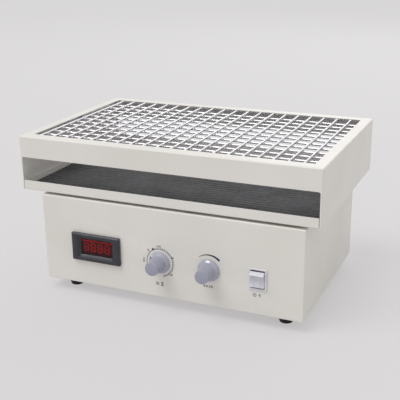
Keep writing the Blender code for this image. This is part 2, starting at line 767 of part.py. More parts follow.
def make_drive_frame():
    half_length = frame_length / 2
    half_depth = frame_half_depth
    top = guide_level + ROD_DIAMETER / 2 + FRAME_MARGIN / 2
    shape = bmesh.new()
    profile = [(half_length, top), (half_length, drive_floor), (-half_length, drive_floor), (-half_length, top)]
    rows = []
    for along in (-half_depth, half_depth):
        rows.append([shape.verts.new((across, along, level)) for across, level in profile])
    for index in range(len(profile) - 1):
        shape.faces.new((rows[0][index], rows[0][index + 1], rows[1][index + 1], rows[1][index]))
    frame = from_bmesh("drive_frame", shape, PLAIN_STEEL)
    frame.location = (base_x, base_y, 0)
    bevel(frame, FRAME_BEND)
    thicken(frame, FRAME_SHEET)
    hole_radius = ROD_DIAMETER / 2 + SEAT_GAP
    for name, along in (("front", -rod_spacing / 2), ("back", rod_spacing / 2)):
        cut(frame, cylinder(
            f"rod_hole_{name}_cutter", hole_radius, frame_length + 2 * CUT_OVERRUN,
            (base_x, base_y + along, guide_level), "X"))
    return frame


def make_guide_rods():
    radius = ROD_DIAMETER / 2
    half = frame_length / 2 + ROD_END
    profile = [
        (0, half), (radius - ROD_CHAMFER, half), (radius, half - ROD_CHAMFER),
        (radius, ROD_CHAMFER - half), (radius - ROD_CHAMFER, -half), (0, -half)]
    for name, along in (("guide_rod_front", -rod_spacing / 2), ("guide_rod_back", rod_spacing / 2)):
        rod = turned(name, profile, PLAIN_STEEL)
        rod.location = (base_x, base_y + along, guide_level)
        rod.rotation_euler = (0, math.pi / 2, 0)


def make_bushes():
    radius = bush_radius
    lower = arc((0, 0), radius, math.pi, math.pi, SMALL_STEPS)
    outline = lower + [(radius, radius), (-radius, radius)]
    bore = circle(ROD_DIAMETER / 2 + SEAT_GAP)
    half_x = BUSH_SPACING / 2
    half_y = rod_spacing / 2
    for name, across, along in (
            ("guide_bush_front_left", -half_x, -half_y), ("guide_bush_front_right", half_x, -half_y),
            ("guide_bush_back_left", -half_x, half_y), ("guide_bush_back_right", half_x, half_y)):
        extruded(
            name, [outline, bore], BUSH_LENGTH, (across, base_y + along, guide_level),
            (math.pi / 2, 0, math.pi / 2), CAST_METAL)


def make_carriage():
    half_x = POST_SPACING / 2 + POST_DIAMETER / 2 + CARRIAGE_MARGIN
    half_y = rod_spacing / 2 + bush_radius + CARRIAGE_MARGIN / 2
    outline = rounded_outline(half_x, half_y, CARRIAGE_CORNER)
    level = (carriage_top + carriage_bottom) / 2
    carriage = extruded(
        "carriage", [outline], CARRIAGE_THICKNESS, (0, base_y, level), finish=PLAIN_STEEL)
    post_top = tray_bottom - SEAT_GAP
    post_length = post_top - level
    for number, (across, along) in enumerate(post_spots()):
        fuse(carriage, cylinder(
            f"post_{number + 1}", POST_DIAMETER / 2, post_length,
            (across, base_y + along, level + post_length / 2), steps=SMALL_STEPS))
    washer_top = rod_bottom - SEAT_GAP
    washer_bottom = washer_top - STUD_WASHER_HEIGHT
    stud = turned("rod_stud", [
        (0, level), (STUD_DIAMETER / 2, level), (STUD_DIAMETER / 2, washer_top),
        (STUD_WASHER / 2, washer_top), (STUD_WASHER / 2, washer_bottom), (0, washer_bottom)],
        None, group=cutters)
    stud.location = (stud_x, crank_y, 0)
    fuse(carriage, stud)
    return carriage


def make_connecting_rod():
    lean = math.acos((ROD_SMALL_EYE - ROD_BIG_EYE) / ROD_LENGTH)
    outline = arc((ROD_LENGTH, 0), ROD_BIG_EYE, -lean, 2 * lean, SMALL_STEPS)
    outline += arc((0, 0), ROD_SMALL_EYE, lean, 2 * (math.pi - lean), SMALL_STEPS)
    small_hole = circle(STUD_DIAMETER / 2 + SEAT_GAP)
    big_hole = circle(PIN_DIAMETER / 2 + SEAT_GAP, ROUND_STEPS, (ROD_LENGTH, 0))
    level = (rod_top + rod_bottom) / 2
    return extruded(
        "connecting_rod", [outline, small_hole, big_hole], ROD_THICKNESS,
        (stud_x, crank_y, level), (0, 0, rod_angle), CAST_METAL)


def make_crank_pin():
    head_bottom = rod_top + SEAT_GAP
    boss_top = rod_bottom - SEAT_GAP
    boss_bottom = boss_top - PIN_BOSS_HEIGHT
    pin = turned("crank_pin", [
        (0, head_bottom + PIN_HEAD_HEIGHT), (PIN_HEAD_DIAMETER / 2, head_bottom + PIN_HEAD_HEIGHT),
        (PIN_HEAD_DIAMETER / 2, head_bottom), (PIN_DIAMETER / 2, head_bottom),
        (PIN_DIAMETER / 2, boss_top), (PIN_BOSS_DIAMETER / 2, boss_top),
        (PIN_BOSS_DIAMETER / 2, boss_bottom), (0, boss_bottom)], PLAIN_STEEL)
    pin.location = (pin_x, pin_y, 0)
    return pin


def groove(rim_radius, pitch_radius):
    floor_radius = pitch_radius - BELT_DIAMETER / 2 - BELT_CLEARANCE
    floor_half = BELT_DIAMETER / 2 + SEAT_GAP
    mouth_half = floor_half + GROOVE_FLARE
    return [
        (rim_radius, belt_level + mouth_half), (floor_radius, belt_level + floor_half),
        (floor_radius, belt_level - floor_half), (rim_radius, belt_level - mouth_half)]


def make_crank_pulley():
    inner = crank_pitch_radius - BELT_DIAMETER / 2 - BELT_CLEARANCE - CRANK_RIM_WALL
    web_bottom = crank_top - CRANK_WEB
    shaft_bottom = crank_bottom - SPINDLE_DEPTH
    profile = [(0, crank_top), (crank_rim, crank_top)]
    profile += groove(crank_rim, crank_pitch_radius)
    profile += [
        (crank_rim, crank_bottom), (inner, crank_bottom), (inner, web_bottom),
        (CRANK_HUB_RADIUS, web_bottom), (CRANK_HUB_RADIUS, crank_bottom),
        (SPINDLE_DIAMETER / 2, crank_bottom), (SPINDLE_DIAMETER / 2, shaft_bottom), (0, shaft_bottom)]
    pulley = turned("crank_pulley", profile, CAST_METAL, FINE_STEPS)
    pulley.location = (crank_x, crank_y, 0)
    return pulley


def make_spindle_housing():
    top = crank_bottom - SEAT_GAP
    bore = SPINDLE_DIAMETER / 2 + SEAT_GAP
    bore_bottom = crank_bottom - SPINDLE_DEPTH - SEAT_GAP
    foot = drive_deck + SEAT_GAP
    profile = [
        (0, bore_bottom), (bore, bore_bottom), (bore, top), (SPINDLE_COLUMN, top),
        (SPINDLE_COLUMN, foot + SPINDLE_FLANGE_HEIGHT), (SPINDLE_FLANGE, foot + SPINDLE_FLANGE_HEIGHT),
        (SPINDLE_FLANGE, foot), (0, foot)]
    housing = turned("spindle_housing", profile, CAST_METAL)
    housing.location = (crank_x, crank_y, 0)
    return housing


def make_motor():
    foot = drive_deck + SEAT_GAP
    can_top = foot + MOTOR_HEIGHT
    boss_top = can_top + MOTOR_BOSS_HEIGHT
    radius = MOTOR_DIAMETER / 2
    bore = MOTOR_SHAFT / 2 + SEAT_GAP
    bore_end = boss_top - MOTOR_SHAFT_DEPTH - SEAT_GAP
    profile = [
        (0, bore_end), (bore, bore_end), (bore, boss_top),
        (MOTOR_BOSS_RADIUS, boss_top), (MOTOR_BOSS_RADIUS, can_top),
        (radius - MOTOR_CHAMFER, can_top), (radius, can_top - MOTOR_CHAMFER),
        (radius, foot + MOTOR_CHAMFER), (radius - MOTOR_CHAMFER, foot), (0, foot)]
    motor = turned("motor", profile, CAST_METAL, FINE_STEPS)
    motor.location = (motor_x, crank_y, 0)
    return motor


def make_motor_pulley():
    rim = BELT_MOTOR_RADIUS + MOTOR_PULLEY_WALL
    shaft = MOTOR_SHAFT / 2
    shaft_end = drive_deck + SEAT_GAP + MOTOR_HEIGHT + MOTOR_BOSS_HEIGHT - MOTOR_SHAFT_DEPTH
    profile = [(0, crank_top), (rim, crank_top)]
    profile += groove(rim, BELT_MOTOR_RADIUS)
    profile += [(rim, crank_bottom), (shaft, crank_bottom), (shaft, shaft_end), (0, shaft_end)]
    pulley = turned("motor_pulley", profile, CAST_METAL)
    pulley.location = (motor_x, crank_y, 0)
    return pulley


def make_belt():
    distance = motor_x - crank_x
    lean = math.acos((crank_pitch_radius - BELT_MOTOR_RADIUS) / distance)
    route = arc((0, 0), crank_pitch_radius, lean, 2 * (math.pi - lean), ROUND_STEPS // 2)
    route += arc((distance, 0), BELT_MOTOR_RADIUS, -lean, 2 * lean, SMALL_STEPS // 2)
    points = [(across, along, 0) for across, along in route]
    belt = wire("drive_belt", points, [BELT_DIAMETER / 2] * len(points), 2, cyclic=True, finish=BELT_RUBBER)
    belt.location = (crank_x, crank_y, belt_level)
    return belt


# Front panel

def facing_front(made, across, drop, stand=0):
    made.location = (base_x + across, panel_y - stand, base_top - drop)
    made.rotation_euler = (math.pi / 2, 0, 0)
    return made


def frustum_cutter(name, width, height, slope, depth):
    shape = bmesh.new()
    lower = [(-width / 2, -height / 2), (width / 2, -height / 2), (width / 2, height / 2), (-width / 2, height / 2)]
    grow = 1 + CUT_OVERRUN / depth
    levels = []
    for share, level in ((0, 0), (grow, depth * grow)):
        levels.append([
            shape.verts.new((
                across + math.copysign(slope * share, across),
                along + math.copysign(slope * share, along), level))
            for across, along in lower])
    shape.faces.new(list(reversed(levels[0])))
    shape.faces.new(levels[1])
    for index in range(4):
        following = (index + 1) % 4
        shape.faces.new((levels[0][index], levels[0][following], levels[1][following], levels[1][index]))
    return from_bmesh(name, shape, None, cutters)


def make_meter():
    back = -BASE_SHEET - METER_BODY_DEPTH
    front = METER_BEZEL
    bezel = box("meter_case", (METER_WIDTH, METER_HEIGHT, METER_BEZEL - SEAT_GAP), (0, 0, 0), METER_PLASTIC)
    bezel.data.transform(Matrix.Translation((0, 0, (front + SEAT_GAP) / 2)))
    facing_front(bezel, meter_x, METER_DROP)
    bevel(bezel, METER_CHAMFER, 2)
    body_top = (front + SEAT_GAP) / 2
    body = box(
        "meter_body", (METER_BODY_WIDTH, METER_BODY_HEIGHT, body_top - back), (0, 0, 0), group=cutters)
    body.data.transform(Matrix.Translation((0, 0, (body_top + back) / 2)))
    facing_front(body, meter_x, METER_DROP)
    fuse(bezel, body)
    recess = frustum_cutter(
        "meter_recess_cutter", METER_WINDOW_WIDTH, METER_WINDOW_HEIGHT, METER_WINDOW_SLOPE,
        METER_WINDOW_RECESS)
    facing_front(recess, meter_x, METER_DROP, front - METER_WINDOW_RECESS)
    cut(bezel, recess)
    pocket_half = (METER_LENS + 2 * SEAT_GAP) / 2
    pocket = box(
        "meter_pocket_cutter",
        (METER_WINDOW_WIDTH, METER_WINDOW_HEIGHT, 2 * (pocket_half + SEAT_GAP)), (0, 0, 0), group=cutters)
    facing_front(pocket, meter_x, METER_DROP, front - METER_WINDOW_RECESS - pocket_half + SEAT_GAP)
    cut(bezel, pocket)
    lens = box(
        "meter_window",
        (METER_WINDOW_WIDTH - 2 * SEAT_GAP, METER_WINDOW_HEIGHT - 2 * SEAT_GAP, METER_LENS),
        (0, 0, 0), METER_LENS_RED)
    facing_front(lens, meter_x, METER_DROP, front - METER_WINDOW_RECESS - SEAT_GAP - METER_LENS / 2)


def make_knob(name, across, drop):
    rim = KNOB_SKIRT_DIAMETER / 2
    grip = KNOB_GRIP_DIAMETER / 2
    skirt_top = KNOB_STANDOFF + KNOB_SKIRT_HEIGHT
    shaft = SHAFT_DIAMETER / 2
    shaft_end = -BASE_SHEET - SHAFT_DEPTH
    profile = [
        (0, skirt_top), (grip + KNOB_CAP_EDGE, skirt_top),
        (rim - KNOB_CAP_EDGE, KNOB_STANDOFF + KNOB_SKIRT_RIM),
        (rim, KNOB_STANDOFF + KNOB_SKIRT_RIM / 2), (rim, KNOB_STANDOFF),
        (shaft, KNOB_STANDOFF), (shaft, shaft_end), (0, shaft_end)]
    knob = turned(name, profile, KNOB_PLASTIC, FINE_STEPS)
    facing_front(knob, across, drop)
    shape = bmesh.new()
    rows = []
    sections = (
        (skirt_top - KNOB_CAP_EDGE, grip), (KNOB_REACH - KNOB_CAP_EDGE, KNOB_GRIP_TIP / 2),
        (KNOB_REACH, KNOB_GRIP_TIP / 2 - KNOB_CAP_EDGE))
    for level, radius in sections:
        row = []
        for index in range(2 * KNOB_FLUTES):
            angle = math.pi * index / KNOB_FLUTES
            reach = radius - KNOB_FLUTE_DEPTH * (index % 2)
            row.append(shape.verts.new((reach * math.cos(angle), reach * math.sin(angle), level)))
        rows.append(row)
    shape.faces.new(list(reversed(rows[0])))
    shape.faces.new(rows[-1])
    for lower, upper in zip(rows, rows[1:]):
        for index in range(len(lower)):
            following = (index + 1) % len(lower)
            shape.faces.new((lower[index], lower[following], upper[following], upper[index]))
    sleeve = from_bmesh(f"{name}_grip", shape, None, cutters)
    facing_front(sleeve, across, drop)
    fuse(knob, sleeve)
    return knob


def make_control(name, across, drop, diameter, depth, finish):
    back = -BASE_SHEET - SEAT_GAP
    bore = SHAFT_DIAMETER / 2 + SEAT_GAP
    bore_end = -BASE_SHEET - SHAFT_DEPTH - SEAT_GAP
    bush = PANEL_HOLE / 2 - SEAT_GAP
    bush_end = KNOB_STANDOFF / 2
    profile = [
        (0, bore_end), (bore, bore_end), (bore, bush_end), (bush, bush_end), (bush, back),
        (diameter / 2, back), (diameter / 2, back - depth), (0, back - depth)]
    return facing_front(turned(name, profile, finish), across, drop)


def make_switch():
    face = SWITCH_BEZEL
    back = -BASE_SHEET - SWITCH_BODY_DEPTH
    frame = box("switch_frame", (SWITCH_WIDTH, SWITCH_HEIGHT, face - SEAT_GAP), (0, 0, 0), SWITCH_PLASTIC)
    frame.data.transform(Matrix.Translation((0, 0, (face + SEAT_GAP) / 2)))
    facing_front(frame, switch_x, SWITCH_DROP)
    bevel(frame, SWITCH_CHAMFER, 2)
    body_top = (face + SEAT_GAP) / 2
    body = box(
        "switch_body", (SWITCH_BODY_WIDTH, SWITCH_BODY_HEIGHT, body_top - back), (0, 0, 0), group=cutters)
    body.data.transform(Matrix.Translation((0, 0, (body_top + back) / 2)))
    facing_front(body, switch_x, SWITCH_DROP)
    fuse(frame, body)
    pocket = box(
        "switch_pocket_cutter",
        (SWITCH_WIDTH - 2 * SWITCH_STRIP, SWITCH_HEIGHT - 2 * SWITCH_STRIP, 2 * SWITCH_POCKET_DEPTH),
        (0, 0, 0), group=cutters)
    facing_front(pocket, switch_x, SWITCH_DROP, face)
    cut(frame, pocket)


def make_rocker():
    crest_end = ROCKER_HALF_HEIGHT - ROCKER_CREST_LENGTH
    front = [(ROCKER_HALF_HEIGHT, ROCKER_SHOULDER)]
    for index in range(ROCKER_SCOOP_STEPS + 1):
        share = 1 - 2 * index / ROCKER_SCOOP_STEPS
        dip = (ROCKER_CREST - ROCKER_VALLEY) * (1 - share * share)
        front.append((crest_end * share, ROCKER_CREST - dip))
    front.append((-ROCKER_HALF_HEIGHT, ROCKER_SHOULDER))
    outline = front + [
        (-ROCKER_HALF_HEIGHT, 0), (-ROCKER_BACK_HALF_HEIGHT, -ROCKER_BACK),
        (ROCKER_BACK_HALF_HEIGHT, -ROCKER_BACK), (ROCKER_HALF_HEIGHT, 0)]
    outline = [(-reach, height) for height, reach in outline]
    width = SWITCH_WIDTH - 2 * SWITCH_STRIP - 2 * SEAT_GAP
    rocker = extruded(
        "switch_rocker", [outline], width, (base_x + switch_x, panel_y, base_top - SWITCH_DROP),
        finish=SWITCH_PLASTIC)
    upright = Matrix.Rotation(math.pi / 2, 4, "Z") @ Matrix.Rotation(math.pi / 2, 4, "X")
    rocker.data.transform(upright)
    rocker.rotation_euler = (ROCKER_TILT, 0, 0)
    return rocker


# Back panel and inside

def make_inlet():
    centre_z = base_top - INLET_DROP
    bezel_front = base_back + SEAT_GAP
    flange = extruded(
        "power_inlet", [rounded_outline(INLET_WIDTH / 2, INLET_HEIGHT / 2, INLET_CORNER)], INLET_BEZEL,
        (base_x + inlet_x, bezel_front + INLET_BEZEL / 2, centre_z), (math.pi / 2, 0, 0), BLACK_PLASTIC)
    body_back = base_back - BASE_SHEET - INLET_BODY_DEPTH
    body_front = bezel_front + INLET_BEZEL / 2
    fuse(flange, box(
        "inlet_body", (INLET_BODY_WIDTH, body_front - body_back, INLET_BODY_HEIGHT),
        (base_x + inlet_x, (body_front + body_back) / 2, centre_z), group=cutters))
    face = bezel_front + INLET_BEZEL
    pocket_length = INLET_POCKET_DEPTH + CUT_OVERRUN
    cut(flange, rounded_cutter(
        "inlet_pocket_cutter", INLET_POCKET_WIDTH / 2, INLET_POCKET_HEIGHT / 2, METER_CHAMFER,
        pocket_length, (base_x + inlet_x, face - INLET_POCKET_DEPTH + pocket_length / 2, centre_z),
        (math.pi / 2, 0, 0)))


def make_fuse_holder():
    cap = FUSE_CAP_DIAMETER / 2
    body = FUSE_BODY_DIAMETER / 2
    seat = SEAT_GAP
    profile = [
        (0, FUSE_CAP_HEIGHT), (cap - KNOB_CAP_EDGE, FUSE_CAP_HEIGHT), (cap, FUSE_CAP_HEIGHT - KNOB_CAP_EDGE),
        (cap, seat), (body, seat), (body, -FUSE_BODY_DEPTH), (0, -FUSE_BODY_DEPTH)]
    holder = turned("fuse_holder", profile, BLACK_PLASTIC)
    centre = (base_x + fuse_x, base_back, base_top - INLET_DROP)
    holder.location = centre
    holder.rotation_euler = (-math.pi / 2, 0, 0)
    slot = box(
        "fuse_slot_cutter", (FUSE_CAP_DIAMETER + CUT_OVERRUN, 2 * FUSE_SLOT_DEPTH, FUSE_SLOT_WIDTH),
        (centre[0], base_back + FUSE_CAP_HEIGHT, centre[2]), group=cutters)
    cut(holder, slot)


def make_control_board():
    across = base_x + board_x
    foot = plate_top + SEAT_GAP
    board_level = foot + BOARD_STANDOFF + BOARD_THICKNESS / 2
    board = box(
        "control_board", (BOARD_WIDTH, BOARD_LENGTH, BOARD_THICKNESS), (across, base_y, board_level),
        BOARD_GREEN)
    half_x = BOARD_WIDTH / 2 - BOARD_POST_INSET
    half_y = BOARD_LENGTH / 2 - BOARD_POST_INSET
    post_height = board_level - foot
    for number, (side, end) in enumerate(((-1, -1), (1, -1), (1, 1), (-1, 1))):
        fuse(board, cylinder(
            f"board_post_{number + 1}", BOARD_POST_DIAMETER / 2, post_height,
            (across + side * half_x, base_y + end * half_y, foot + post_height / 2), steps=SMALL_STEPS))
    top = board_level
    quarter = BOARD_LENGTH / 4
    fuse(board, box(
        "transformer", (TRANSFORMER_SIZE, TRANSFORMER_SIZE, TRANSFORMER_HEIGHT),
        (across, base_y - quarter, top + TRANSFORMER_HEIGHT / 2), group=cutters))
    for number, share in enumerate((0, 1)):
        fuse(board, cylinder(
            f"capacitor_{number + 1}", CAPACITOR_DIAMETER / 2, CAPACITOR_HEIGHT,
            (across, base_y + quarter * share, top + CAPACITOR_HEIGHT / 2), steps=SMALL_STEPS))


make_tray_frame()
make_tray_floor()
make_mat()
make_front_back_springs()
fuse(make_rail(), make_cross_springs())
make_saddles()
make_base_housing()
make_bottom_plate()
make_feet()
make_drive_frame()
make_guide_rods()
make_bushes()
make_carriage()
make_connecting_rod()
make_crank_pin()
make_crank_pulley()
make_spindle_housing()
make_motor()
make_motor_pulley()
make_belt()
make_meter()
make_knob("timer_knob", TIMER_X, TIMER_DROP)
make_knob("speed_knob", SPEED_X, SPEED_DROP)
make_control("timer_case", TIMER_X, TIMER_DROP, TIMER_CASE_DIAMETER, TIMER_CASE_DEPTH, PLAIN_STEEL)
make_control("speed_pot", SPEED_X, SPEED_DROP, POT_DIAMETER, POT_DEPTH, PLAIN_STEEL)
make_switch()
make_rocker()
make_inlet()
make_fuse_holder()
make_control_board()

hook_gaps = [least_gap(path) for path in (front_back_spring_path(), cross_spring_path())]
print("least gap of a spring to itself, mm:", [round(gap / MM, 2) for gap in hook_gaps])
print("crank angle", round(math.degrees(crank_angle), 2), "rod angle", round(math.degrees(rod_angle), 2))
print("levels", [round(level / MM, 2) for level in (base_top, tray_bottom, tray_top, guide_level, belt_level)])
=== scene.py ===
# Laboratory shaker: finer pieces, finishes, camera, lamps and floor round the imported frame.
# Sizes in the dictionaries are millimetres in the frame's own axes: x right, y back, z up.

import math

import bmesh
import bpy
from mathutils import Matrix, Vector


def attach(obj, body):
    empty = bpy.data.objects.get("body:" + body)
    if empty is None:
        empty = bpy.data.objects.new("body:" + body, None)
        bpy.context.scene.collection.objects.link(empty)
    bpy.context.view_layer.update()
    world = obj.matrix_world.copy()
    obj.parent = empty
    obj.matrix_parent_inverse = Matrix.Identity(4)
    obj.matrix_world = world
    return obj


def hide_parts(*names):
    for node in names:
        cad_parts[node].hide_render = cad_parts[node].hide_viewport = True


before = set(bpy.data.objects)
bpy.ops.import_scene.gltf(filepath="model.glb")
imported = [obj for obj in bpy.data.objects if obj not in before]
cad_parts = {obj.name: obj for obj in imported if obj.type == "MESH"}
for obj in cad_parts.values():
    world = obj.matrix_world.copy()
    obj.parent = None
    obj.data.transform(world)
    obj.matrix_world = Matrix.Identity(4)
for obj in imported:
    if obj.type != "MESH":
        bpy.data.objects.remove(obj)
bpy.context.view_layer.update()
mm = 0.001


def tone(red, green, blue):
    # screen values 0-255 to the linear numbers that shaders use
    made = []
    for value in (red, green, blue):
        share = value / 255
        made.append(share / 12.92 if share <= 0.04045 else ((share + 0.055) / 1.055) ** 2.4)
    return (*made, 1)


# Node groups: each is one effect, placed in several materials with its own values

def newGroup(name, inputs, outputs):
    group = bpy.data.node_groups.new(name, "ShaderNodeTree")
    kinds = {"colour": "NodeSocketColor", "number": "NodeSocketFloat", "vector": "NodeSocketVector"}
    for label, kind, value in inputs:
        socket = group.interface.new_socket(name=label, in_out="INPUT", socket_type=kinds[kind])
        socket.default_value = value
    for label, kind in outputs:
        group.interface.new_socket(name=label, in_out="OUTPUT", socket_type=kinds[kind])
    entry = group.nodes.new("NodeGroupInput")
    leave = group.nodes.new("NodeGroupOutput")
    return group, entry.outputs, leave.inputs


def addNode(tree, kind, **settings):
    made = tree.nodes.new(kind)
    for key, value in settings.items():
        setattr(made, key, value)
    return made


def setInputs(node, **values):
    # an underscore stands for a space in a socket's name
    for label, value in values.items():
        node.inputs[label.replace("_", " ")].default_value = value
    return node


def feed(tree, socket, value):
    # a number is set on the socket, and another socket is linked to it
    if isinstance(value, (int, float)):
        socket.default_value = value
    else:
        tree.links.new(value, socket)


def noise(tree, size, detail):
    # size is a socket or a number of features per metre
    made = setInputs(addNode(tree, "ShaderNodeTexNoise"), Detail=detail)
    tree.links.new(addNode(tree, "ShaderNodeTexCoord").outputs["Object"], made.inputs["Vector"])
    feed(tree, made.inputs["Scale"], size)
    return made.outputs["Fac"]


def remap(tree, source, low, high, newLow, newHigh):
    made = addNode(tree, "ShaderNodeMapRange")
    for key, value in (
            ("Value", source), ("From Min", low), ("From Max", high), ("To Min", newLow),
            ("To Max", newHigh)):
        feed(tree, made.inputs[key], value)
    return made.outputs["Result"]


def combine(tree, operation, *values):
    made = addNode(tree, "ShaderNodeMath", operation=operation)
    for socket, value in zip(made.inputs, values):
        feed(tree, socket, value)
    return made.outputs["Value"]


def times(tree, one, other):
    return combine(tree, "MULTIPLY", one, other)


def blendColours(tree, share, one, other):
    made = addNode(tree, "ShaderNodeMix", data_type="RGBA")
    tree.links.new(share, made.inputs["Factor"])
    tree.links.new(one, made.inputs[6])
    tree.links.new(other, made.inputs[7])
    return made.outputs[2]


def makeCloudyTone():
    # two close tones drift into each other, with finer specks on top
    group, given, out = newGroup("cloudyTone", [
        ("Tone", "colour", (0.6, 0.6, 0.6, 1)), ("Second Tone", "colour", (0.5, 0.5, 0.5, 1)),
        ("Cloud Size", "number", 20), ("Speck Size", "number", 400), ("Speck Amount", "number", 0.15)],
        [("Colour", "colour")])
    cloud = remap(group, noise(group, given["Cloud Size"], 3), 0.35, 0.65, 0, 1)
    clouded = blendColours(group, cloud, given["Tone"], given["Second Tone"])
    speck = remap(group, noise(group, given["Speck Size"], 2), 0.45, 0.75, 0, 1)
    share = times(group, speck, given["Speck Amount"])
    group.links.new(blendColours(group, share, clouded, given["Second Tone"]), out["Colour"])
    return group


def makeSettledDust():
    # a thin veil on faces that look up, broken by noise
    group, given, out = newGroup("settledDust", [
        ("Colour", "colour", (0.6, 0.6, 0.6, 1)), ("Dust Tone", "colour", (0.6, 0.58, 0.55, 1)),
        ("Amount", "number", 0.1), ("Patch Size", "number", 45)], [("Colour", "colour")])
    facing = addNode(group, "ShaderNodeSeparateXYZ")
    group.links.new(addNode(group, "ShaderNodeNewGeometry").outputs["Normal"], facing.inputs["Vector"])
    up = remap(group, facing.outputs["Z"], 0.5, 1, 0, 1)
    patch = remap(group, noise(group, given["Patch Size"], 4), 0.4, 0.7, 0, 1)
    share = times(group, times(group, up, patch), given["Amount"])
    group.links.new(blendColours(group, share, given["Colour"], given["Dust Tone"]), out["Colour"])
    return group


def makeEdgeRub():
    # corners and rims that hands and boxes brush against turn a little lighter
    group, given, out = newGroup("edgeRub", [
        ("Colour", "colour", (0.6, 0.6, 0.6, 1)), ("Rub Tone", "colour", (0.7, 0.7, 0.7, 1)),
        ("Amount", "number", 0.3)], [("Colour", "colour"), ("Mask", "number")])
    edge = remap(group, addNode(group, "ShaderNodeNewGeometry").outputs["Pointiness"], 0.52, 0.62, 0, 1)
    broken = times(group, edge, remap(group, noise(group, 160, 3), 0.35, 0.6, 0.35, 1))
    share = times(group, broken, given["Amount"])
    group.links.new(blendColours(group, share, given["Colour"], given["Rub Tone"]), out["Colour"])
    group.links.new(broken, out["Mask"])
    return group


def makeFineSkin():
    # height for a Bump node: a coarse wave and a fine grain, and a roughness that drifts with them
    group, given, out = newGroup("fineSkin", [
        ("Wave Size", "number", 500), ("Grain Size", "number", 2500), ("Grain Share", "number", 0.4),
        ("Roughness", "number", 0.5), ("Roughness Drift", "number", 0.06)],
        [("Height", "number"), ("Roughness", "number")])
    wave = noise(group, given["Wave Size"], 1)
    grain = times(group, noise(group, given["Grain Size"], 1), given["Grain Share"])
    group.links.new(combine(group, "ADD", wave, grain), out["Height"])
    drift = times(group, remap(group, noise(group, 60, 3), 0.3, 0.7, -1, 1), given["Roughness Drift"])
    group.links.new(combine(group, "ADD", drift, given["Roughness"]), out["Roughness"])
    return group


def makeDrawnLines():
    # lines that rolling or turning leaves in metal: colour, roughness and height
    group, given, out = newGroup("drawnLines", [
        ("Tone", "colour", (0.6, 0.6, 0.6, 1)), ("Line Tone", "colour", (0.45, 0.45, 0.45, 1)),
        ("Stretch", "vector", (1, 20, 20)), ("Line Size", "number", 60), ("Roughness", "number", 0.3)],
        [("Colour", "colour"), ("Roughness", "number"), ("Height", "number")])
    place = addNode(group, "ShaderNodeTexCoord").outputs["Object"]
    pulled = addNode(group, "ShaderNodeVectorMath", operation="MULTIPLY")
    group.links.new(place, pulled.inputs[0])
    group.links.new(given["Stretch"], pulled.inputs[1])
    lines = setInputs(addNode(group, "ShaderNodeTexNoise"), Detail=4)
    group.links.new(pulled.outputs["Vector"], lines.inputs["Vector"])
    group.links.new(given["Line Size"], lines.inputs["Scale"])
    share = remap(group, lines.outputs["Fac"], 0.35, 0.65, 0, 1)
    group.links.new(blendColours(group, share, given["Tone"], given["Line Tone"]), out["Colour"])
    roughness = combine(group, "MULTIPLY_ADD", share, 0.12, given["Roughness"])
    group.links.new(roughness, out["Roughness"])
    group.links.new(lines.outputs["Fac"], out["Height"])
    return group


cloudyTone = makeCloudyTone()
settledDust = makeSettledDust()
edgeRub = makeEdgeRub()
fineSkin = makeFineSkin()
drawnLines = makeDrawnLines()


# Materials

def startMaterial(name):
    made = bpy.data.materials.new(name)
    made.use_nodes = True
    return made, made.node_tree, made.node_tree.nodes["Principled BSDF"]


def useGroup(tree, group, **values):
    return setInputs(addNode(tree, "ShaderNodeGroup", node_tree=group), **values)


def joinBump(tree, height, shader, strength, depth):
    bump = setInputs(addNode(tree, "ShaderNodeBump"), Strength=strength, Distance=depth * mm)
    tree.links.new(height, bump.inputs["Height"])
    tree.links.new(bump.outputs["Normal"], shader.inputs["Normal"])


def mouldedFinish(name, look):
    # paint, plastic and rubber: cloudy tone, dust or rub, fine skin
    made, tree, shader = startMaterial(name)
    cloud = useGroup(tree, cloudyTone, Tone=tone(*look["tone"]),
                     Second_Tone=tone(*look["secondTone"]), Cloud_Size=look["cloudSize"],
                     Speck_Size=look["speckSize"], Speck_Amount=look["speckAmount"])
    colour = cloud.outputs["Colour"]
    for group, label, kind in ((edgeRub, "Rub Tone", "rub"), (settledDust, "Dust Tone", "dust")):
        if look.get(kind + "Amount"):
            values = {label: tone(*look[kind + "Tone"]), "Amount": look[kind + "Amount"]}
            veil = useGroup(tree, group, **values)
            tree.links.new(colour, veil.inputs["Colour"])
            colour = veil.outputs["Colour"]
    tree.links.new(colour, shader.inputs["Base Color"])
    skin = useGroup(tree, fineSkin, Wave_Size=look["waveSize"], Grain_Size=look["grainSize"],
                    Roughness=look["roughness"], Roughness_Drift=look["drift"])
    tree.links.new(skin.outputs["Roughness"], shader.inputs["Roughness"])
    joinBump(tree, skin.outputs["Height"], shader, look["bump"], look["depth"])
    setInputs(shader, Specular_IOR_Level=look.get("gloss", 0.5), Coat_Weight=look.get("coat", 0),
              Coat_Roughness=0.25)
    return made


def metalFinish(name, look):
    made, tree, shader = startMaterial(name)
    lines = useGroup(tree, drawnLines, Tone=look["tone"], Line_Tone=look["lineTone"],
                     Stretch=look["stretch"], Line_Size=look["lineSize"], Roughness=look["roughness"])
    tree.links.new(lines.outputs["Colour"], shader.inputs["Base Color"])
    tree.links.new(lines.outputs["Roughness"], shader.inputs["Roughness"])
    setInputs(shader, Metallic=look.get("metal", 1))
    joinBump(tree, lines.outputs["Height"], shader, look["bump"], 0.02)
    return made


# tones of paint, plastic and rubber are screen values, and those of metal are linear already

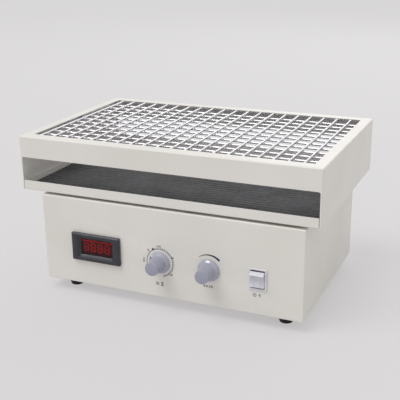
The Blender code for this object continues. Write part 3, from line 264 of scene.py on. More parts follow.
ivoryLook = {
    "tone": (226, 223, 218), "secondTone": (221, 218, 212), "cloudSize": 9, "speckSize": 900,
    "speckAmount": 0.25, "rubTone": (236, 234, 230), "rubAmount": 0.35,
    "dustTone": (214, 210, 203), "dustAmount": 0.12,
    "waveSize": 450, "grainSize": 1800, "roughness": 0.42, "drift": 0.05, "bump": 0.25, "depth": 0.03,
    "gloss": 0.5, "coat": 0.15,
}
matLook = {
    "tone": (92, 92, 95), "secondTone": (80, 80, 82), "cloudSize": 14, "speckSize": 700,
    "speckAmount": 0.4, "dustTone": (120, 118, 116), "dustAmount": 0.25,
    "waveSize": 900, "grainSize": 3000, "roughness": 0.72, "drift": 0.06, "bump": 0.5, "depth": 0.05,
    "gloss": 0.35,
}
footLook = {
    "tone": (44, 44, 46), "secondTone": (34, 34, 35), "cloudSize": 60, "speckSize": 900,
    "speckAmount": 0.3, "dustTone": (90, 88, 85), "dustAmount": 0.2, "rubTone": (80, 79, 78),
    "rubAmount": 0.3, "waveSize": 800, "grainSize": 2500, "roughness": 0.68, "drift": 0.06,
    "bump": 0.35, "depth": 0.04, "gloss": 0.35,
}
knobLook = {
    "tone": (170, 171, 187), "secondTone": (164, 165, 181), "cloudSize": 70, "speckSize": 1500,
    "speckAmount": 0.2, "rubTone": (190, 191, 204), "rubAmount": 0.25,
    "waveSize": 900, "grainSize": 3500, "roughness": 0.38, "drift": 0.05, "bump": 0.2, "depth": 0.02,
    "gloss": 0.5,
}
capLook = dict(knobLook, tone=(158, 160, 175), secondTone=(152, 154, 170), roughness=0.45)
inlayLook = dict(knobLook, tone=(240, 240, 242), secondTone=(232, 232, 236), rubAmount=0)
# painted shade: a darker copy of the knob plastic, laid on the timer skirt's upper left where the grip's
# shadow falls
skirtShadeLook = dict(knobLook, tone=(96, 98, 116), secondTone=(86, 88, 106), rubAmount=0)
switchLook = {
    "tone": (222, 222, 228), "secondTone": (214, 214, 221), "cloudSize": 80, "speckSize": 1400,
    "speckAmount": 0.2, "rubTone": (235, 235, 240), "rubAmount": 0.2,
    "waveSize": 1000, "grainSize": 3600, "roughness": 0.32, "drift": 0.04, "bump": 0.15, "depth": 0.02,
}
rockerLook = dict(switchLook, tone=(206, 206, 214), secondTone=(199, 199, 208))
markLook = dict(switchLook, tone=(238, 238, 242), secondTone=(230, 230, 236))
meterLook = {
    "tone": (50, 50, 58), "secondTone": (42, 42, 50), "cloudSize": 60, "speckSize": 1400,
    "speckAmount": 0.35, "rubTone": (96, 96, 106), "rubAmount": 0.35,
    "dustTone": (110, 108, 108), "dustAmount": 0.25,
    "waveSize": 1100, "grainSize": 3800, "roughness": 0.36, "drift": 0.06, "bump": 0.3, "depth": 0.03,
}
blackLook = dict(meterLook, tone=(38, 38, 40), secondTone=(31, 31, 33), roughness=0.45)
boardRedLook = dict(meterLook, tone=(40, 10, 14), secondTone=(30, 7, 10), rubAmount=0)
beltLook = dict(footLook, tone=(40, 39, 38), secondTone=(30, 29, 29))
printLook = {
    "tone": (58, 58, 84), "secondTone": (50, 50, 74), "cloudSize": 90, "speckSize": 1600,
    "speckAmount": 0.4, "waveSize": 900, "grainSize": 3200, "roughness": 0.5, "drift": 0.05,
    "bump": 0.2, "depth": 0.02, "gloss": 0.4,
}
circuitLook = {
    "tone": (38, 96, 62), "secondTone": (28, 78, 50), "cloudSize": 120, "speckSize": 900,
    "speckAmount": 0.5, "waveSize": 700, "grainSize": 2600, "roughness": 0.4, "drift": 0.08,
    "bump": 0.4, "depth": 0.05,
}
springLook = {
    "tone": (0.97, 0.97, 0.985, 1), "lineTone": (0.9, 0.9, 0.925, 1), "stretch": (1, 1, 1),
    "lineSize": 900, "roughness": 0.3, "bump": 0.1,
}
rodLook = {
    "tone": (0.62, 0.62, 0.64, 1), "lineTone": (0.48, 0.48, 0.5, 1), "stretch": (2, 24, 24),
    "lineSize": 60, "roughness": 0.26, "bump": 0.15,
}
castLook = {
    "tone": (0.42, 0.42, 0.43, 1), "lineTone": (0.32, 0.32, 0.33, 1), "stretch": (8, 8, 8),
    "lineSize": 70, "roughness": 0.5, "bump": 0.6,
}
motorLook = {
    "tone": (0.1, 0.1, 0.11, 1), "lineTone": (0.07, 0.07, 0.075, 1), "stretch": (8, 8, 8),
    "lineSize": 60, "roughness": 0.45, "bump": 0.4, "metal": 0.3,
}
bladeLook = {
    "tone": (0.83, 0.68, 0.36, 1), "lineTone": (0.72, 0.56, 0.28, 1), "stretch": (20, 2, 20),
    "lineSize": 90, "roughness": 0.28, "bump": 0.15,
}

ivoryCoat = mouldedFinish("ivoryCoat", ivoryLook)
matRubber = mouldedFinish("matRubber", matLook)
footRubber = mouldedFinish("footRubber", footLook)
knobPlastic = mouldedFinish("knobPlastic", knobLook)
knobCap = mouldedFinish("knobCap", capLook)
pointerWhite = mouldedFinish("pointerWhite", inlayLook)
# painted shade for the timer knob's skirt beside the grip
paintedSkirtShade = mouldedFinish("paintedSkirtShade", skirtShadeLook)
switchPlastic = mouldedFinish("switchPlastic", switchLook)
rockerPlastic = mouldedFinish("rockerPlastic", rockerLook)
rockerMark = mouldedFinish("rockerMark", markLook)
meterPlastic = mouldedFinish("meterPlastic", meterLook)
blackPlastic = mouldedFinish("blackPlastic", blackLook)
displayBoard = mouldedFinish("displayBoard", boardRedLook)
beltRubber = mouldedFinish("beltRubber", beltLook)
panelInk = mouldedFinish("panelInk", printLook)
circuitGreen = mouldedFinish("circuitGreen", circuitLook)
springSteel = metalFinish("springSteel", springLook)
rodSteel = metalFinish("rodSteel", rodLook)
castMetal = metalFinish("castMetal", castLook)
motorPaint = metalFinish("motorPaint", motorLook)
bladeBrass = metalFinish("bladeBrass", bladeLook)


def litFinish(name, look):
    # lit display segments: a red that is a little uneven along each segment
    made, tree, shader = startMaterial(name)
    cloud = useGroup(tree, cloudyTone, Tone=tone(*look["tone"]),
                     Second_Tone=tone(*look["secondTone"]), Cloud_Size=look["cloudSize"],
                     Speck_Size=900, Speck_Amount=0.2)
    tree.links.new(cloud.outputs["Colour"], shader.inputs["Base Color"])
    tree.links.new(cloud.outputs["Colour"], shader.inputs["Emission Color"])
    setInputs(shader, Emission_Strength=look["glow"], Roughness=0.6)
    return made


def lensFinish(name, look):
    # smoked red acrylic, see-through, with a faint haze in its gloss
    made, tree, shader = startMaterial(name)
    setInputs(shader, Base_Color=tone(*look["tone"]), Transmission_Weight=1, IOR=1.3,
              Specular_IOR_Level=0.3)
    haze = useGroup(tree, fineSkin, Wave_Size=300.0, Grain_Size=2500.0, Roughness=look["roughness"],
                    Roughness_Drift=0.02)
    tree.links.new(haze.outputs["Roughness"], shader.inputs["Roughness"])
    return made


litLook = {"tone": (185, 18, 40), "secondTone": (155, 13, 32), "cloudSize": 220, "glow": 0.4}
lensLook = {"tone": (228, 120, 130), "roughness": 0.05}
litSegment = litFinish("litSegment", litLook)
smokedLens = lensFinish("smokedLens", lensLook)
print("materials:", len(bpy.data.materials))


# Modelling helpers

def addObject(name, data):
    made = bpy.data.objects.new(name, data)
    bpy.context.scene.collection.objects.link(made)
    return made


def meshObject(name, shape, *finishes):
    mesh = bpy.data.meshes.new(name)
    bmesh.ops.recalc_face_normals(shape, faces=shape.faces)
    shape.to_mesh(mesh)
    shape.free()
    for finish in finishes:
        mesh.materials.append(finish)
    return addObject(name, mesh)


def meshAt(place, name, shape, *finishes):
    made = meshObject(name, shape, *finishes)
    made.data.transform(place)
    return made


def softShade(made, degrees=35):
    made.data.shade_smooth()
    made.data.set_sharp_from_angle(angle=math.radians(degrees))
    return made


def flatShade(made, degrees=35):
    # broad faces keep their own direction beside the rounded folds
    softShade(made, degrees)
    even = made.modifiers.new("evenShade", "WEIGHTED_NORMAL")
    even.mode = "FACE_AREA"
    even.weight = 90
    even.keep_sharp = True
    return made


def settle(made, body, slotName, *nodes):
    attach(made, body)
    if nodes:
        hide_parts(*nodes)
    return made


def finalMesh(made):
    # the mesh that an object's modifiers or its text give
    bpy.context.view_layer.update()
    graph = bpy.context.evaluated_depsgraph_get()
    return bpy.data.meshes.new_from_object(made.evaluated_get(graph))


def applyModifiers(made, *helpers):
    mesh = finalMesh(made)
    made.modifiers.clear()
    made.data = mesh
    for helper in helpers:
        bpy.data.objects.remove(helper, do_unlink=True)
    return made


def joinPieces(name, pieces):
    # several objects become one piece, with the finishes of each kept
    first = pieces[0]
    bpy.context.view_layer.update()
    with bpy.context.temp_override(active_object=first, selected_editable_objects=pieces):
        bpy.ops.object.join()
    first.name = name
    first.data.name = name
    return first


def loft(shape, rows, firstCap=False, lastCap=False, finish=0):
    # closed rings of equal count, joined one to the next
    verts = [[shape.verts.new(spot) for spot in row] for row in rows]
    faces = []
    for lower, upper in zip(verts, verts[1:]):
        count = len(lower)
        for index in range(count):
            following = (index + 1) % count
            faces.append(shape.faces.new((lower[index], lower[following], upper[following], upper[index])))
    if firstCap:
        faces.append(shape.faces.new(list(reversed(verts[0]))))
    if lastCap:
        faces.append(shape.faces.new(verts[-1]))
    for face in faces:
        face.material_index = finish
    return verts


def arcSpots(centre, radius, start, sweep, steps):
    return [
        (centre[0] + radius * math.cos(start + sweep * index / steps),
         centre[1] + radius * math.sin(start + sweep * index / steps))
        for index in range(steps + 1)]


def circleSpots(centre, radius, steps):
    return arcSpots(centre, radius, 0, 2 * math.pi, steps)[:-1]


def roundedRing(halfWidth, halfHeight, corner, steps=6):
    spots = []
    for turn, (across, up) in enumerate(((1, 1), (-1, 1), (-1, -1), (1, -1))):
        centre = (across * (halfWidth - corner), up * (halfHeight - corner))
        spots += arcSpots(centre, corner, turn * math.pi / 2, math.pi / 2, steps)
    return spots


def ringRow(halfWidth, halfHeight, corner, level, steps=6):
    spots = roundedRing(halfWidth, halfHeight, corner, steps)
    return [(across * mm, up * mm, level * mm) for across, up in spots]


def ringLoft(shape, table, **caps):
    # a rounded ring for each row of the table: half width, half height, corner, level
    loft(shape, [ringRow(*row) for row in table], **caps)


def turned(shape, profile, steps, finish=0):
    # profile runs from the axis out and back to it: (radius, level) in millimetres
    previous = None
    faces = []
    for radius, level in profile:
        if radius == 0:
            row = [shape.verts.new((0, 0, level * mm))]
        else:
            row = [
                shape.verts.new((across * mm, up * mm, level * mm))
                for across, up in circleSpots((0, 0), radius, steps)]
        if previous:
            for index in range(steps):
                following = (index + 1) % steps
                corners = []
                for spots in (previous, row):
                    pair = [spots[0]] if len(spots) == 1 else [spots[index], spots[following]]
                    corners.append(pair)
                faces.append(shape.faces.new(corners[0] + list(reversed(corners[1]))))
        previous = row
    for face in faces:
        face.material_index = finish


def roundedCorner(profile, radius, steps=4):
    # each inner corner of a profile becomes a short arc
    made = [profile[0]]
    for before, here, after in zip(profile, profile[1:], profile[2:]):
        here = Vector(here)
        toBefore = Vector(before) - here
        toAfter = Vector(after) - here
        reach = min(radius, toBefore.length * 0.45, toAfter.length * 0.45)
        first = here + toBefore.normalized() * reach
        last = here + toAfter.normalized() * reach
        for index in range(steps + 1):
            share = index / steps
            spot = first * (1 - share) ** 2 + here * 2 * share * (1 - share) + last * share ** 2
            made.append(tuple(spot))
    made.append(profile[-1])
    return made


def tube(shape, points, radius, sides, closed=False):
    # a round wire along the points, with its rings kept from twisting
    count = len(points)
    points = [Vector(point) for point in points]
    side = None
    rows = []
    for index, point in enumerate(points):
        if closed:
            ahead = points[(index + 1) % count] - points[index - 1]
        else:
            ahead = points[min(index + 1, count - 1)] - points[max(index - 1, 0)]
        ahead.normalize()
        if side is None:
            side = ahead.orthogonal().normalized()
        side = (side - ahead * side.dot(ahead)).normalized()
        other = ahead.cross(side)
        rows.append([
            point + side * math.cos(2 * math.pi * step / sides) * radius
            + other * math.sin(2 * math.pi * step / sides) * radius for step in range(sides)])
    if closed:
        verts = loft(shape, rows)
        last, first = verts[-1], verts[0]
        for index in range(sides):
            following = (index + 1) % sides
            shape.faces.new((last[index], last[following], first[following], first[index]))
        return
    loft(shape, rows, firstCap=True, lastCap=True)


frontWall = -131.5
backWall = 130.5
upright = Matrix.Rotation(math.pi / 2, 4, "X")


def moved(across, along, up):
    return Matrix.Translation((across * mm, along * mm, up * mm))


def onPanel(across, up):
    # from drawing axes (right, up, out of the panel) to the front panel
    return moved(across, frontWall, up) @ upright


def onBack(across, up):
    return moved(across, backWall, up) @ Matrix.Rotation(math.pi, 4, "Z") @ upright


def spread(count, step):
    # evenly spaced places round zero
    return [(index - (count - 1) / 2) * step for index in range(count)]


def cutAway(made, cutter):
    step = made.modifiers.new("cut", "BOOLEAN")
    step.operation = "DIFFERENCE"
    step.solver = "EXACT"
    step.object = cutter
    return cutter


def ringCutter(halfWidth, halfHeight, corner, length, matrix, steps=6):
    shape = bmesh.new()
    rows = [ringRow(halfWidth, halfHeight, corner, level, steps) for level in (-length / 2, length / 2)]
    loft(shape, rows, firstCap=True, lastCap=True)
    made = meshAt(matrix, "cutter", shape)
    made.hide_render = True
    return made


def foldSheet(made, bend, segments, sheet):
    # bare faces become a sheet with rounded folds
    fold = made.modifiers.new("folds", "BEVEL")
    fold.width = bend * mm
    fold.segments = segments
    fold.limit_method = "ANGLE"
    fold.angle_limit = math.radians(40)
    thick = made.modifiers.new("sheet", "SOLIDIFY")
    thick.thickness = sheet * mm
    thick.offset = -1
    thick.use_even_offset = True


def foldedShell(name, box, bend, sheet, finish):
    # an open-bottomed sheet box with rounded folds: x, y, z from and to
    shape = bmesh.new()
    bmesh.ops.create_cube(shape, size=1)
    low = Vector((box[0], box[2], box[4])) * mm
    high = Vector((box[1], box[3], box[5])) * mm
    for vert in shape.verts:
        vert.co = Vector([low[k] + (vert.co[k] + 0.5) * (high[k] - low[k]) for k in range(3)])
    bmesh.ops.delete(shape, geom=[face for face in shape.faces if face.normal.z < -0.5], context="FACES_ONLY")
    made = meshObject(name, shape, finish)
    foldSheet(made, bend, 8, sheet)
    return made


def breakEdges(made, width):
    # the cut sheet edges lose their sharpness under the coat
    step = made.modifiers.new("softEdges", "BEVEL")
    step.width = width * mm
    step.segments = 2
    step.limit_method = "ANGLE"
    step.angle_limit = math.radians(50)
    step.use_clamp_overlap = True
    return made


# Tray: frame with its net opening and end slots, pan, mat

tray = {
    "halfWidth": 227.5, "front": -131.5, "back": 158.5, "middle": 13.5, "bottom": 153.8, "top": 234.8,
    "sheet": 1.2, "bend": 2.5, "openingHalfWidth": 212, "openingHalfDepth": 128, "openingCorner": 1.5,
    "slotHalfWidth": 224.5, "slotTop": 203.2, "slotCorner": 2.5, "edge": 0.2,
    "openingCut": 10, "slotCut": 300, "cutPast": 4,
}


def makeTrayFrame():
    box = (-tray["halfWidth"], tray["halfWidth"], tray["front"], tray["back"], tray["bottom"], tray["top"])
    made = foldedShell("trayFrame", box, tray["bend"], tray["sheet"], ivoryCoat)
    opening = ringCutter(
        tray["openingHalfWidth"], tray["openingHalfDepth"], tray["openingCorner"], tray["openingCut"],
        moved(0, tray["middle"], tray["top"]))
    low = tray["bottom"] - tray["cutPast"]
    halfHeight = (tray["slotTop"] - low) / 2
    slots = ringCutter(
        tray["slotHalfWidth"], halfHeight, tray["slotCorner"], tray["slotCut"],
        moved(0, tray["middle"], low + halfHeight) @ upright)
    helpers = [cutAway(made, opening), cutAway(made, slots)]
    breakEdges(made, tray["edge"])
    applyModifiers(made, *helpers)
    return settle(flatShade(made), "tray", "ivory_paint", "tray_frame")


pan = {
    "lipHalf": 223.7, "floorHalf": 226, "lipTop": 168, "sideTop": 165.8, "relief": 4, "bend": 1.8,
    "edge": 0.2,
}


def makePan():
    front = tray["front"] - tray["middle"]
    back = tray["back"] - tray["middle"]
    lip = pan["lipHalf"]
    wide = pan["floorHalf"]
    stepIn = back - pan["relief"]
    outline = [
        (-lip, front), (lip, front), (lip, -stepIn), (wide, -stepIn), (wide, stepIn), (lip, stepIn),
        (lip, back), (-lip, back), (-lip, stepIn), (-wide, stepIn), (-wide, -stepIn), (-lip, -stepIn)]
    shape = bmesh.new()
    ring = [shape.verts.new((across * mm, along * mm, 0)) for across, along in outline]
    shape.faces.new(list(reversed(ring)))
    lipRise = (pan["lipTop"] - tray["bottom"]) * mm
    sideRise = (pan["sideTop"] - tray["bottom"]) * mm
    # each rise starts from the outline's corner of that number: two lips, then two sides
    for start, rise in ((0, lipRise), (6, lipRise), (3, sideRise), (9, sideRise)):
        first = ring[start]
        second = ring[start + 1]
        upper = [shape.verts.new(vert.co + Vector((0, 0, rise))) for vert in (second, first)]
        shape.faces.new((first, second, *upper))
    mesh = bpy.data.meshes.new("pan")
    shape.to_mesh(mesh)
    shape.free()
    mesh.materials.append(ivoryCoat)
    mesh.transform(moved(0, tray["middle"], tray["bottom"]))
    made = addObject("pan", mesh)
    foldSheet(made, pan["bend"], 6, tray["sheet"])
    breakEdges(made, pan["edge"])
    applyModifiers(made)
    return settle(flatShade(made), "tray", "ivory_paint", "tray_floor")


mat = {
    "halfWidth": 222.7, "halfDepth": 140.2, "bottom": 155.3, "thickness": 3, "ribHeight": 0.8,
    "ribPitch": 9, "ribWidth": 5, "ribs": 31, "crownSteps": 8,
}


def makeMat():
    valley = mat["thickness"] - mat["ribHeight"]
    half = mat["halfDepth"]
    profile = [(-half, 0), (half, 0), (half, valley)]
    first = -mat["ribPitch"] * (mat["ribs"] - 1) / 2
    for index in reversed(range(mat["ribs"])):
        middle = first + index * mat["ribPitch"]
        for step in range(mat["crownSteps"] + 1):
            # a low crown with soft shoulders
            turn = math.pi * step / mat["crownSteps"]
            rise = min(1, 1.6 * math.sin(turn)) ** 0.8
            profile.append((middle + math.cos(turn) * mat["ribWidth"] / 2, valley + mat["ribHeight"] * rise))
    profile.append((-half, valley))
    shape = bmesh.new()
    rows = []
    for across in (-mat["halfWidth"], mat["halfWidth"]):
        rows.append([
            (across * mm, (tray["middle"] + along) * mm, (mat["bottom"] + level) * mm)
            for along, level in profile])
    loft(shape, rows, firstCap=True, lastCap=True)
    made = meshObject("mat", shape, matRubber)
    return settle(softShade(made, 40), "tray", "mat_rubber", "rubber_mat")


makeTrayFrame()
makePan()
makeMat()
print("tray: frame, pan and mat")


# Spring net: wound springs in two layers, hooked on one rail

springs = {
    "radius": 1.7, "wire": 0.35, "pitch": 0.7, "valley": 1.56, "flanks": (0.3, 0.7), "sides": 8,
    "hookRadius": 1.9, "hookTurn": 240, "hookSteps": 12, "hookSides": 6,
    "leadOut": ((-0.4, 1.3), (0.3, 1.22), (1, 0.8), (1.6, 0.25), (2.3, 0)),
    "longHalf": 127, "longRail": 134.5, "longLevel": 232.95, "longStep": 21, "longCount": 20,
    "longShift": -3, "crossShift": 3,
    "crossHalf": 213.5, "crossRail": 218.5, "crossLevel": 229.15, "crossStep": 21.2, "crossCount": 11,
    "railLevel": 231.05, "railRadius": 1.25, "railCorner": 6,
}


def woundSpring(name, half, railAt, side, closed):
    # the coil's skin follows the wire's helix: a crest and two flanks for each turn, axis along x
    sides = springs["sides"]
    pitch = springs["pitch"]
    turns = int(2 * (half - pitch) / pitch)
    start = -turns * pitch / 2 - pitch / 2
    outline = [(0, springs["radius"])] + [(offset, springs["valley"]) for offset in springs["flanks"]]
    verts = []
    faces = []
    count = turns * sides + 1
    for index in range(count):
        angle = 2 * math.pi * index / sides
        for offset, radius in outline:
            along = start + pitch * (index / sides + offset)
            verts.append((along * mm, radius * math.cos(angle) * mm, radius * math.sin(angle) * mm))
    for index in range(count - 1):
        here = 3 * index
        ahead = here + 3
        faces.append((here, ahead, ahead + 1, here + 1))
        faces.append((here + 1, ahead + 1, ahead + 2, here + 2))
        if index + sides + 1 < count:
            faces.append((here + 2, ahead + 2, ahead + 3 * sides, here + 3 * sides))
    # both ends close with a flat fan round the axis
    firstRim = [3 * index for index in range(sides + 1)] + [2, 1]
    tail = 3 * (count - 1)
    lastRim = [tail - 3 * sides + 2 + 3 * index for index in range(sides + 1)] + [tail + 1, tail]
    for rim, turnsAt in ((firstRim[::-1], 0.2), (lastRim, turns + 0.5)):
        hub = len(verts)
        verts.append(((start + turnsAt * pitch) * mm, 0, 0))
        for one, other in zip(rim, rim[1:] + rim[:1]):
            faces.append((one, other, hub))
    mesh = bpy.data.meshes.new(name)
    mesh.from_pydata(verts, [], faces)
    shape = bmesh.new()
    shape.from_mesh(mesh)
    for end in (-1, 1):
        path = [(half + along, lift * side) for along, lift in springs["leadOut"]]
        steps = springs["hookSteps"]
        for index in range(steps + 1):
            angle = math.radians(springs["hookTurn"]) * index / steps
            path.append((
                railAt + springs["hookRadius"] * math.sin(angle),
                side * springs["hookRadius"] * (math.cos(angle) - 1)))
        if closed:
            path.append((railAt, -side * springs["hookRadius"]))
        points = [(end * along * mm, 0, rise * mm) for along, rise in path]
        tube(shape, points, springs["wire"] * mm, springs["hookSides"])
    bmesh.ops.recalc_face_normals(shape, faces=shape.faces)
    shape.to_mesh(mesh)
    shape.free()
    mesh.materials.append(springSteel)
    mesh.shade_smooth()
    return mesh


def makeNet():
    longMesh = woundSpring("longSpring", springs["longHalf"], springs["longRail"], 1, False)
    longMesh.transform(Matrix.Rotation(math.pi / 2, 4, "Z"))
    for index, offset in enumerate(spread(springs["longCount"], springs["longStep"]), 1):
        made = addObject(f"longSpring{index:02d}", longMesh)
        across = springs["longShift"] + offset
        made.location = (across * mm, tray["middle"] * mm, springs["longLevel"] * mm)
        settle(made, "tray", "spring_steel", f"front_back_spring_{index:02d}")
    crossMesh = woundSpring("crossSpring", springs["crossHalf"], springs["crossRail"], -1, True)
    for index, offset in enumerate(spread(springs["crossCount"], springs["crossStep"]), 1):
        made = addObject(f"crossSpring{index:02d}", crossMesh)
        along = tray["middle"] + springs["crossShift"] + offset
        made.location = (0, along * mm, springs["crossLevel"] * mm)
        settle(made, "tray", "spring_steel", "cross_spring_net")
    shape = bmesh.new()
    outline = roundedRing(springs["crossRail"], springs["longRail"], springs["railCorner"], 8)
    points = [
        (across * mm, (tray["middle"] + along) * mm, springs["railLevel"] * mm) for across, along in outline]
    tube(shape, points, springs["railRadius"] * mm, 12, closed=True)
    settle(softShade(meshObject("netRail", shape, springSteel)), "tray", "spring_steel", "cross_spring_net")


makeNet()
print("spring net:", springs["longCount"], "long and", springs["crossCount"], "cross springs")


# Base: folded housing with its openings, feet and small screws

base = {
    "left": -195, "right": 208, "front": frontWall, "back": backWall, "bottom": 18, "top": 150, "sheet": 1.2,
    "bend": 2.5, "middle": 6.5, "edge": 0.2,
    "meterAt": (-105.7, 77), "meterHole": (37.8, 19.6), "switchAt": (143, 70.3), "switchHole": (12, 14.9),
    "timerAt": (-3.7, 71), "speedAt": (71.5, 71.5), "knobHole": 5,
    "inletAt": (-143.5, 55), "inletHole": (13.8, 10.3), "fuseAt": (-98.5, 55), "fuseHole": 6.3,
    "postX": 90, "postY": 70, "postMiddle": -0.5, "postSlot": (18, 8), "cut": 8, "holeCorner": 0.4,
}


def makeHousing():
    box = (base["left"], base["right"], base["front"], base["back"], base["bottom"], base["top"])
    made = foldedShell("housing", box, base["bend"], base["sheet"], ivoryCoat)
    helpers = []
    square, knobHole, fuseHole = base["holeCorner"], base["knobHole"], base["fuseHole"]
    # name, wall, half width and half height, corner and its steps
    for name, wall, hole, corner, steps in (
            ("meter", base["front"], base["meterHole"], square, 3),
            ("switch", base["front"], base["switchHole"], square, 3),
            ("inlet", base["back"], base["inletHole"], square, 3),
            ("timer", base["front"], (knobHole, knobHole), knobHole, 6),
            ("speed", base["front"], (knobHole, knobHole), knobHole, 6),
            ("fuse", base["back"], (fuseHole, fuseHole), fuseHole, 6)):
        across, up = base[name + "At"]
        place = moved(across, wall, up) @ upright
        helpers.append(cutAway(made, ringCutter(*hole, corner, base["cut"], place, steps)))
    half, radius = base["postSlot"]
    for sideX in (-1, 1):
        for sideY in (-1, 1):
            place = moved(base["middle"] + sideX * base["postX"],
                          base["postMiddle"] + sideY * base["postY"], base["top"])
            helpers.append(cutAway(made, ringCutter(half, radius, radius - 0.01, base["cut"], place, 8)))
    breakEdges(made, base["edge"])
    applyModifiers(made, *helpers)
    return settle(flatShade(made), "base", "ivory_paint", "base_housing")


foot = {
    "spots": {
        "footFrontLeft": (-162, -101.5, "foot_front_left"),
        "footFrontRight": (175, -101.5, "foot_front_right"),
        "footBackLeft": (-162, 100.5, "foot_back_left"),
        "footBackRight": (175, 100.5, "foot_back_right")},
    "top": 13, "bottom": 9, "height": 16.5, "rim": 3, "bore": 4, "boreDepth": 9,
    "washer": [(0, 8.6), (3.8, 8.6), (3.8, 7.9), (0, 7.9)],
    "screw": [(0, 5.6), (1.6, 5.7), (2.9, 6.6), (2.9, 7.8), (0, 7.8)],
}


def makeFeet():
    for name, (across, along, node) in foot["spots"].items():
        shape = bmesh.new()
        profile = roundedCorner([
            (0, foot["height"]), (foot["top"], foot["height"]), (foot["top"], foot["height"] - foot["rim"]),
            (foot["bottom"] + 0.6, 1.2), (foot["bottom"], 0), (foot["bore"] + 0.6, 0),
            (foot["bore"], 0.8), (foot["bore"], foot["boreDepth"]), (0, foot["boreDepth"])], 0.9)
        turned(shape, profile, 40)
        # washer and screw head up in the bore
        turned(shape, foot["washer"], 24, 1)
        turned(shape, roundedCorner(foot["screw"], 0.5), 24, 1)
        made = meshObject(name, shape, footRubber, rodSteel)
        made.location = (across * mm, along * mm, 0)
        settle(softShade(made), "base", "foot_rubber", node)


plateScrews = {
    "level": 16.8, "radius": 3, "across": (-183, 6.5, 196), "ends": (-119.5, 118.5), "sides": (-40, 29)}


def screwHead(shape, across, along, level, radius):
    # a pan head with a cross recess, seen from below
    first = len(shape.verts)
    turned(shape, roundedCorner([(0, 1.1), (radius * 0.7, 1), (radius, 0.5), (radius, 0), (0, 0)], 0.4), 20)
    shape.verts.ensure_lookup_table()
    for vert in shape.verts[first:]:
        spot = vert.co
        if abs(spot.z) > 0.9 * mm and min(abs(spot.x), abs(spot.y)) < 0.3 * mm:
            spot.z -= 0.35 * mm
        vert.co = Vector((spot.x + across * mm, spot.y + along * mm, level * mm - spot.z))


def makePlateScrews():
    shape = bmesh.new()
    left, _, right = plateScrews["across"]
    spots = [(across, along) for across in plateScrews["across"] for along in plateScrews["ends"]]
    spots += [(across, along) for along in plateScrews["sides"] for across in (left, right)]
    for across, along in spots:
        screwHead(shape, across, along, plateScrews["level"], plateScrews["radius"])
    settle(softShade(meshObject("plateScrews", shape, rodSteel)), "base", "plain_steel")


makeHousing()
makeFeet()
makePlateScrews()
print("base: housing, feet and plate screws")


# Front panel: meter, knobs, switch and print

meter = {
    "halfWidth": 39.5, "halfHeight": 21.3, "corner": 1.2, "stand": 5.5, "windowHalf": (25.5, 12),
    "recess": 4, "slope": 4, "bodyHalf": (37.5, 19.3), "bodyDepth": 28.2, "boardAt": -1.8,
    "lensHalf": (25.2, 11.7), "lens": (-0.3, 1.2),
    "digitHeight": 12.8, "digitWidth": 8.4, "digitStep": 11.7, "segment": 1.5, "digitMiddle": -1,
    "digitLevel": -0.8, "segmentGap": 0.25, "segmentLift": 0.28,
    "barHeight": 1.7, "barLevel": 8.8, "barHalf": 24.8,
}


def makeMeter():
    wide, tall = meter["halfWidth"], meter["halfHeight"]
    windowWide, windowTall = meter["windowHalf"]
    bodyWide, bodyTall = meter["bodyHalf"]
    front = meter["stand"]
    mouthWide, mouthTall = windowWide + meter["slope"], windowTall + meter["slope"]
    shape = bmesh.new()
    corner, floor, inner = meter["corner"], meter["boardAt"], front - meter["recess"]
    # body, seat of the bezel, its side and chamfer, its face, then the slope in to the window
    ringLoft(shape, [
        (bodyWide, bodyTall, 0.6, -meter["bodyDepth"]), (bodyWide, bodyTall, 0.6, 0.3),
        (wide - 0.15, tall - 0.15, 1.05, 0.3), (wide, tall, corner, 0.45), (wide, tall, corner, front - 1.75),
        (wide - 0.12, tall - 0.12, corner, front - 1.45), (wide - 1.35, tall - 1.35, 1.1, front - 0.12),
        (wide - 1.7, tall - 1.7, 1, front), (mouthWide + 0.35, mouthTall + 0.35, 0.9, front),
        (mouthWide, mouthTall, 0.8, front - 0.15), (windowWide + 0.2, windowTall + 0.2, 0.5, inner + 0.15),
        (windowWide, windowTall, 0.4, inner - 0.05), (windowWide, windowTall, 0.4, floor)], firstCap=True)
    ringLoft(shape, [(windowWide, windowTall, 0.4, floor - 0.01), (windowWide, windowTall, 0.4, floor)],
             firstCap=True, lastCap=True, finish=1)
    place = onPanel(*base["meterAt"])
    case = meshAt(place, "meterCase", shape, meterPlastic, displayBoard)
    settle(softShade(case, 25), "base", "meter_plastic", "meter_case")

    shape = bmesh.new()
    lensWide, lensTall = meter["lensHalf"]
    low, high = meter["lens"]
    ringLoft(shape, [
        (lensWide, lensTall, 0.4, low), (lensWide, lensTall, 0.4, high - 0.15),
        (lensWide - 0.15, lensTall - 0.15, 0.4, high)], firstCap=True, lastCap=True)
    lens = meshAt(place, "meterLens", shape, smokedLens)
    settle(softShade(lens, 25), "base", "meter_lens", "meter_window")

    shape = bmesh.new()
    for offset in spread(4, meter["digitStep"]):
        makeDigit(shape, offset + meter["digitMiddle"], meter["digitLevel"], floor + 0.02)
    bar = meter["barHeight"] / 2
    slab(shape, [
        (-meter["barHalf"], meter["barLevel"] - bar), (meter["barHalf"], meter["barLevel"] - bar),
        (meter["barHalf"], meter["barLevel"] + bar), (-meter["barHalf"], meter["barLevel"] + bar)],
        floor + 0.02, floor + 0.3)
    settle(meshAt(place, "meterDigits", shape, litSegment), "base", None)


def slab(shape, outline, low, high, place=Matrix()):
    # a flat closed solid from an outline in drawing axes
    rows = [[place @ Vector((across * mm, up * mm, level * mm)) for across, up in outline]
            for level in (low, high)]
    loft(shape, rows, firstCap=True, lastCap=True)


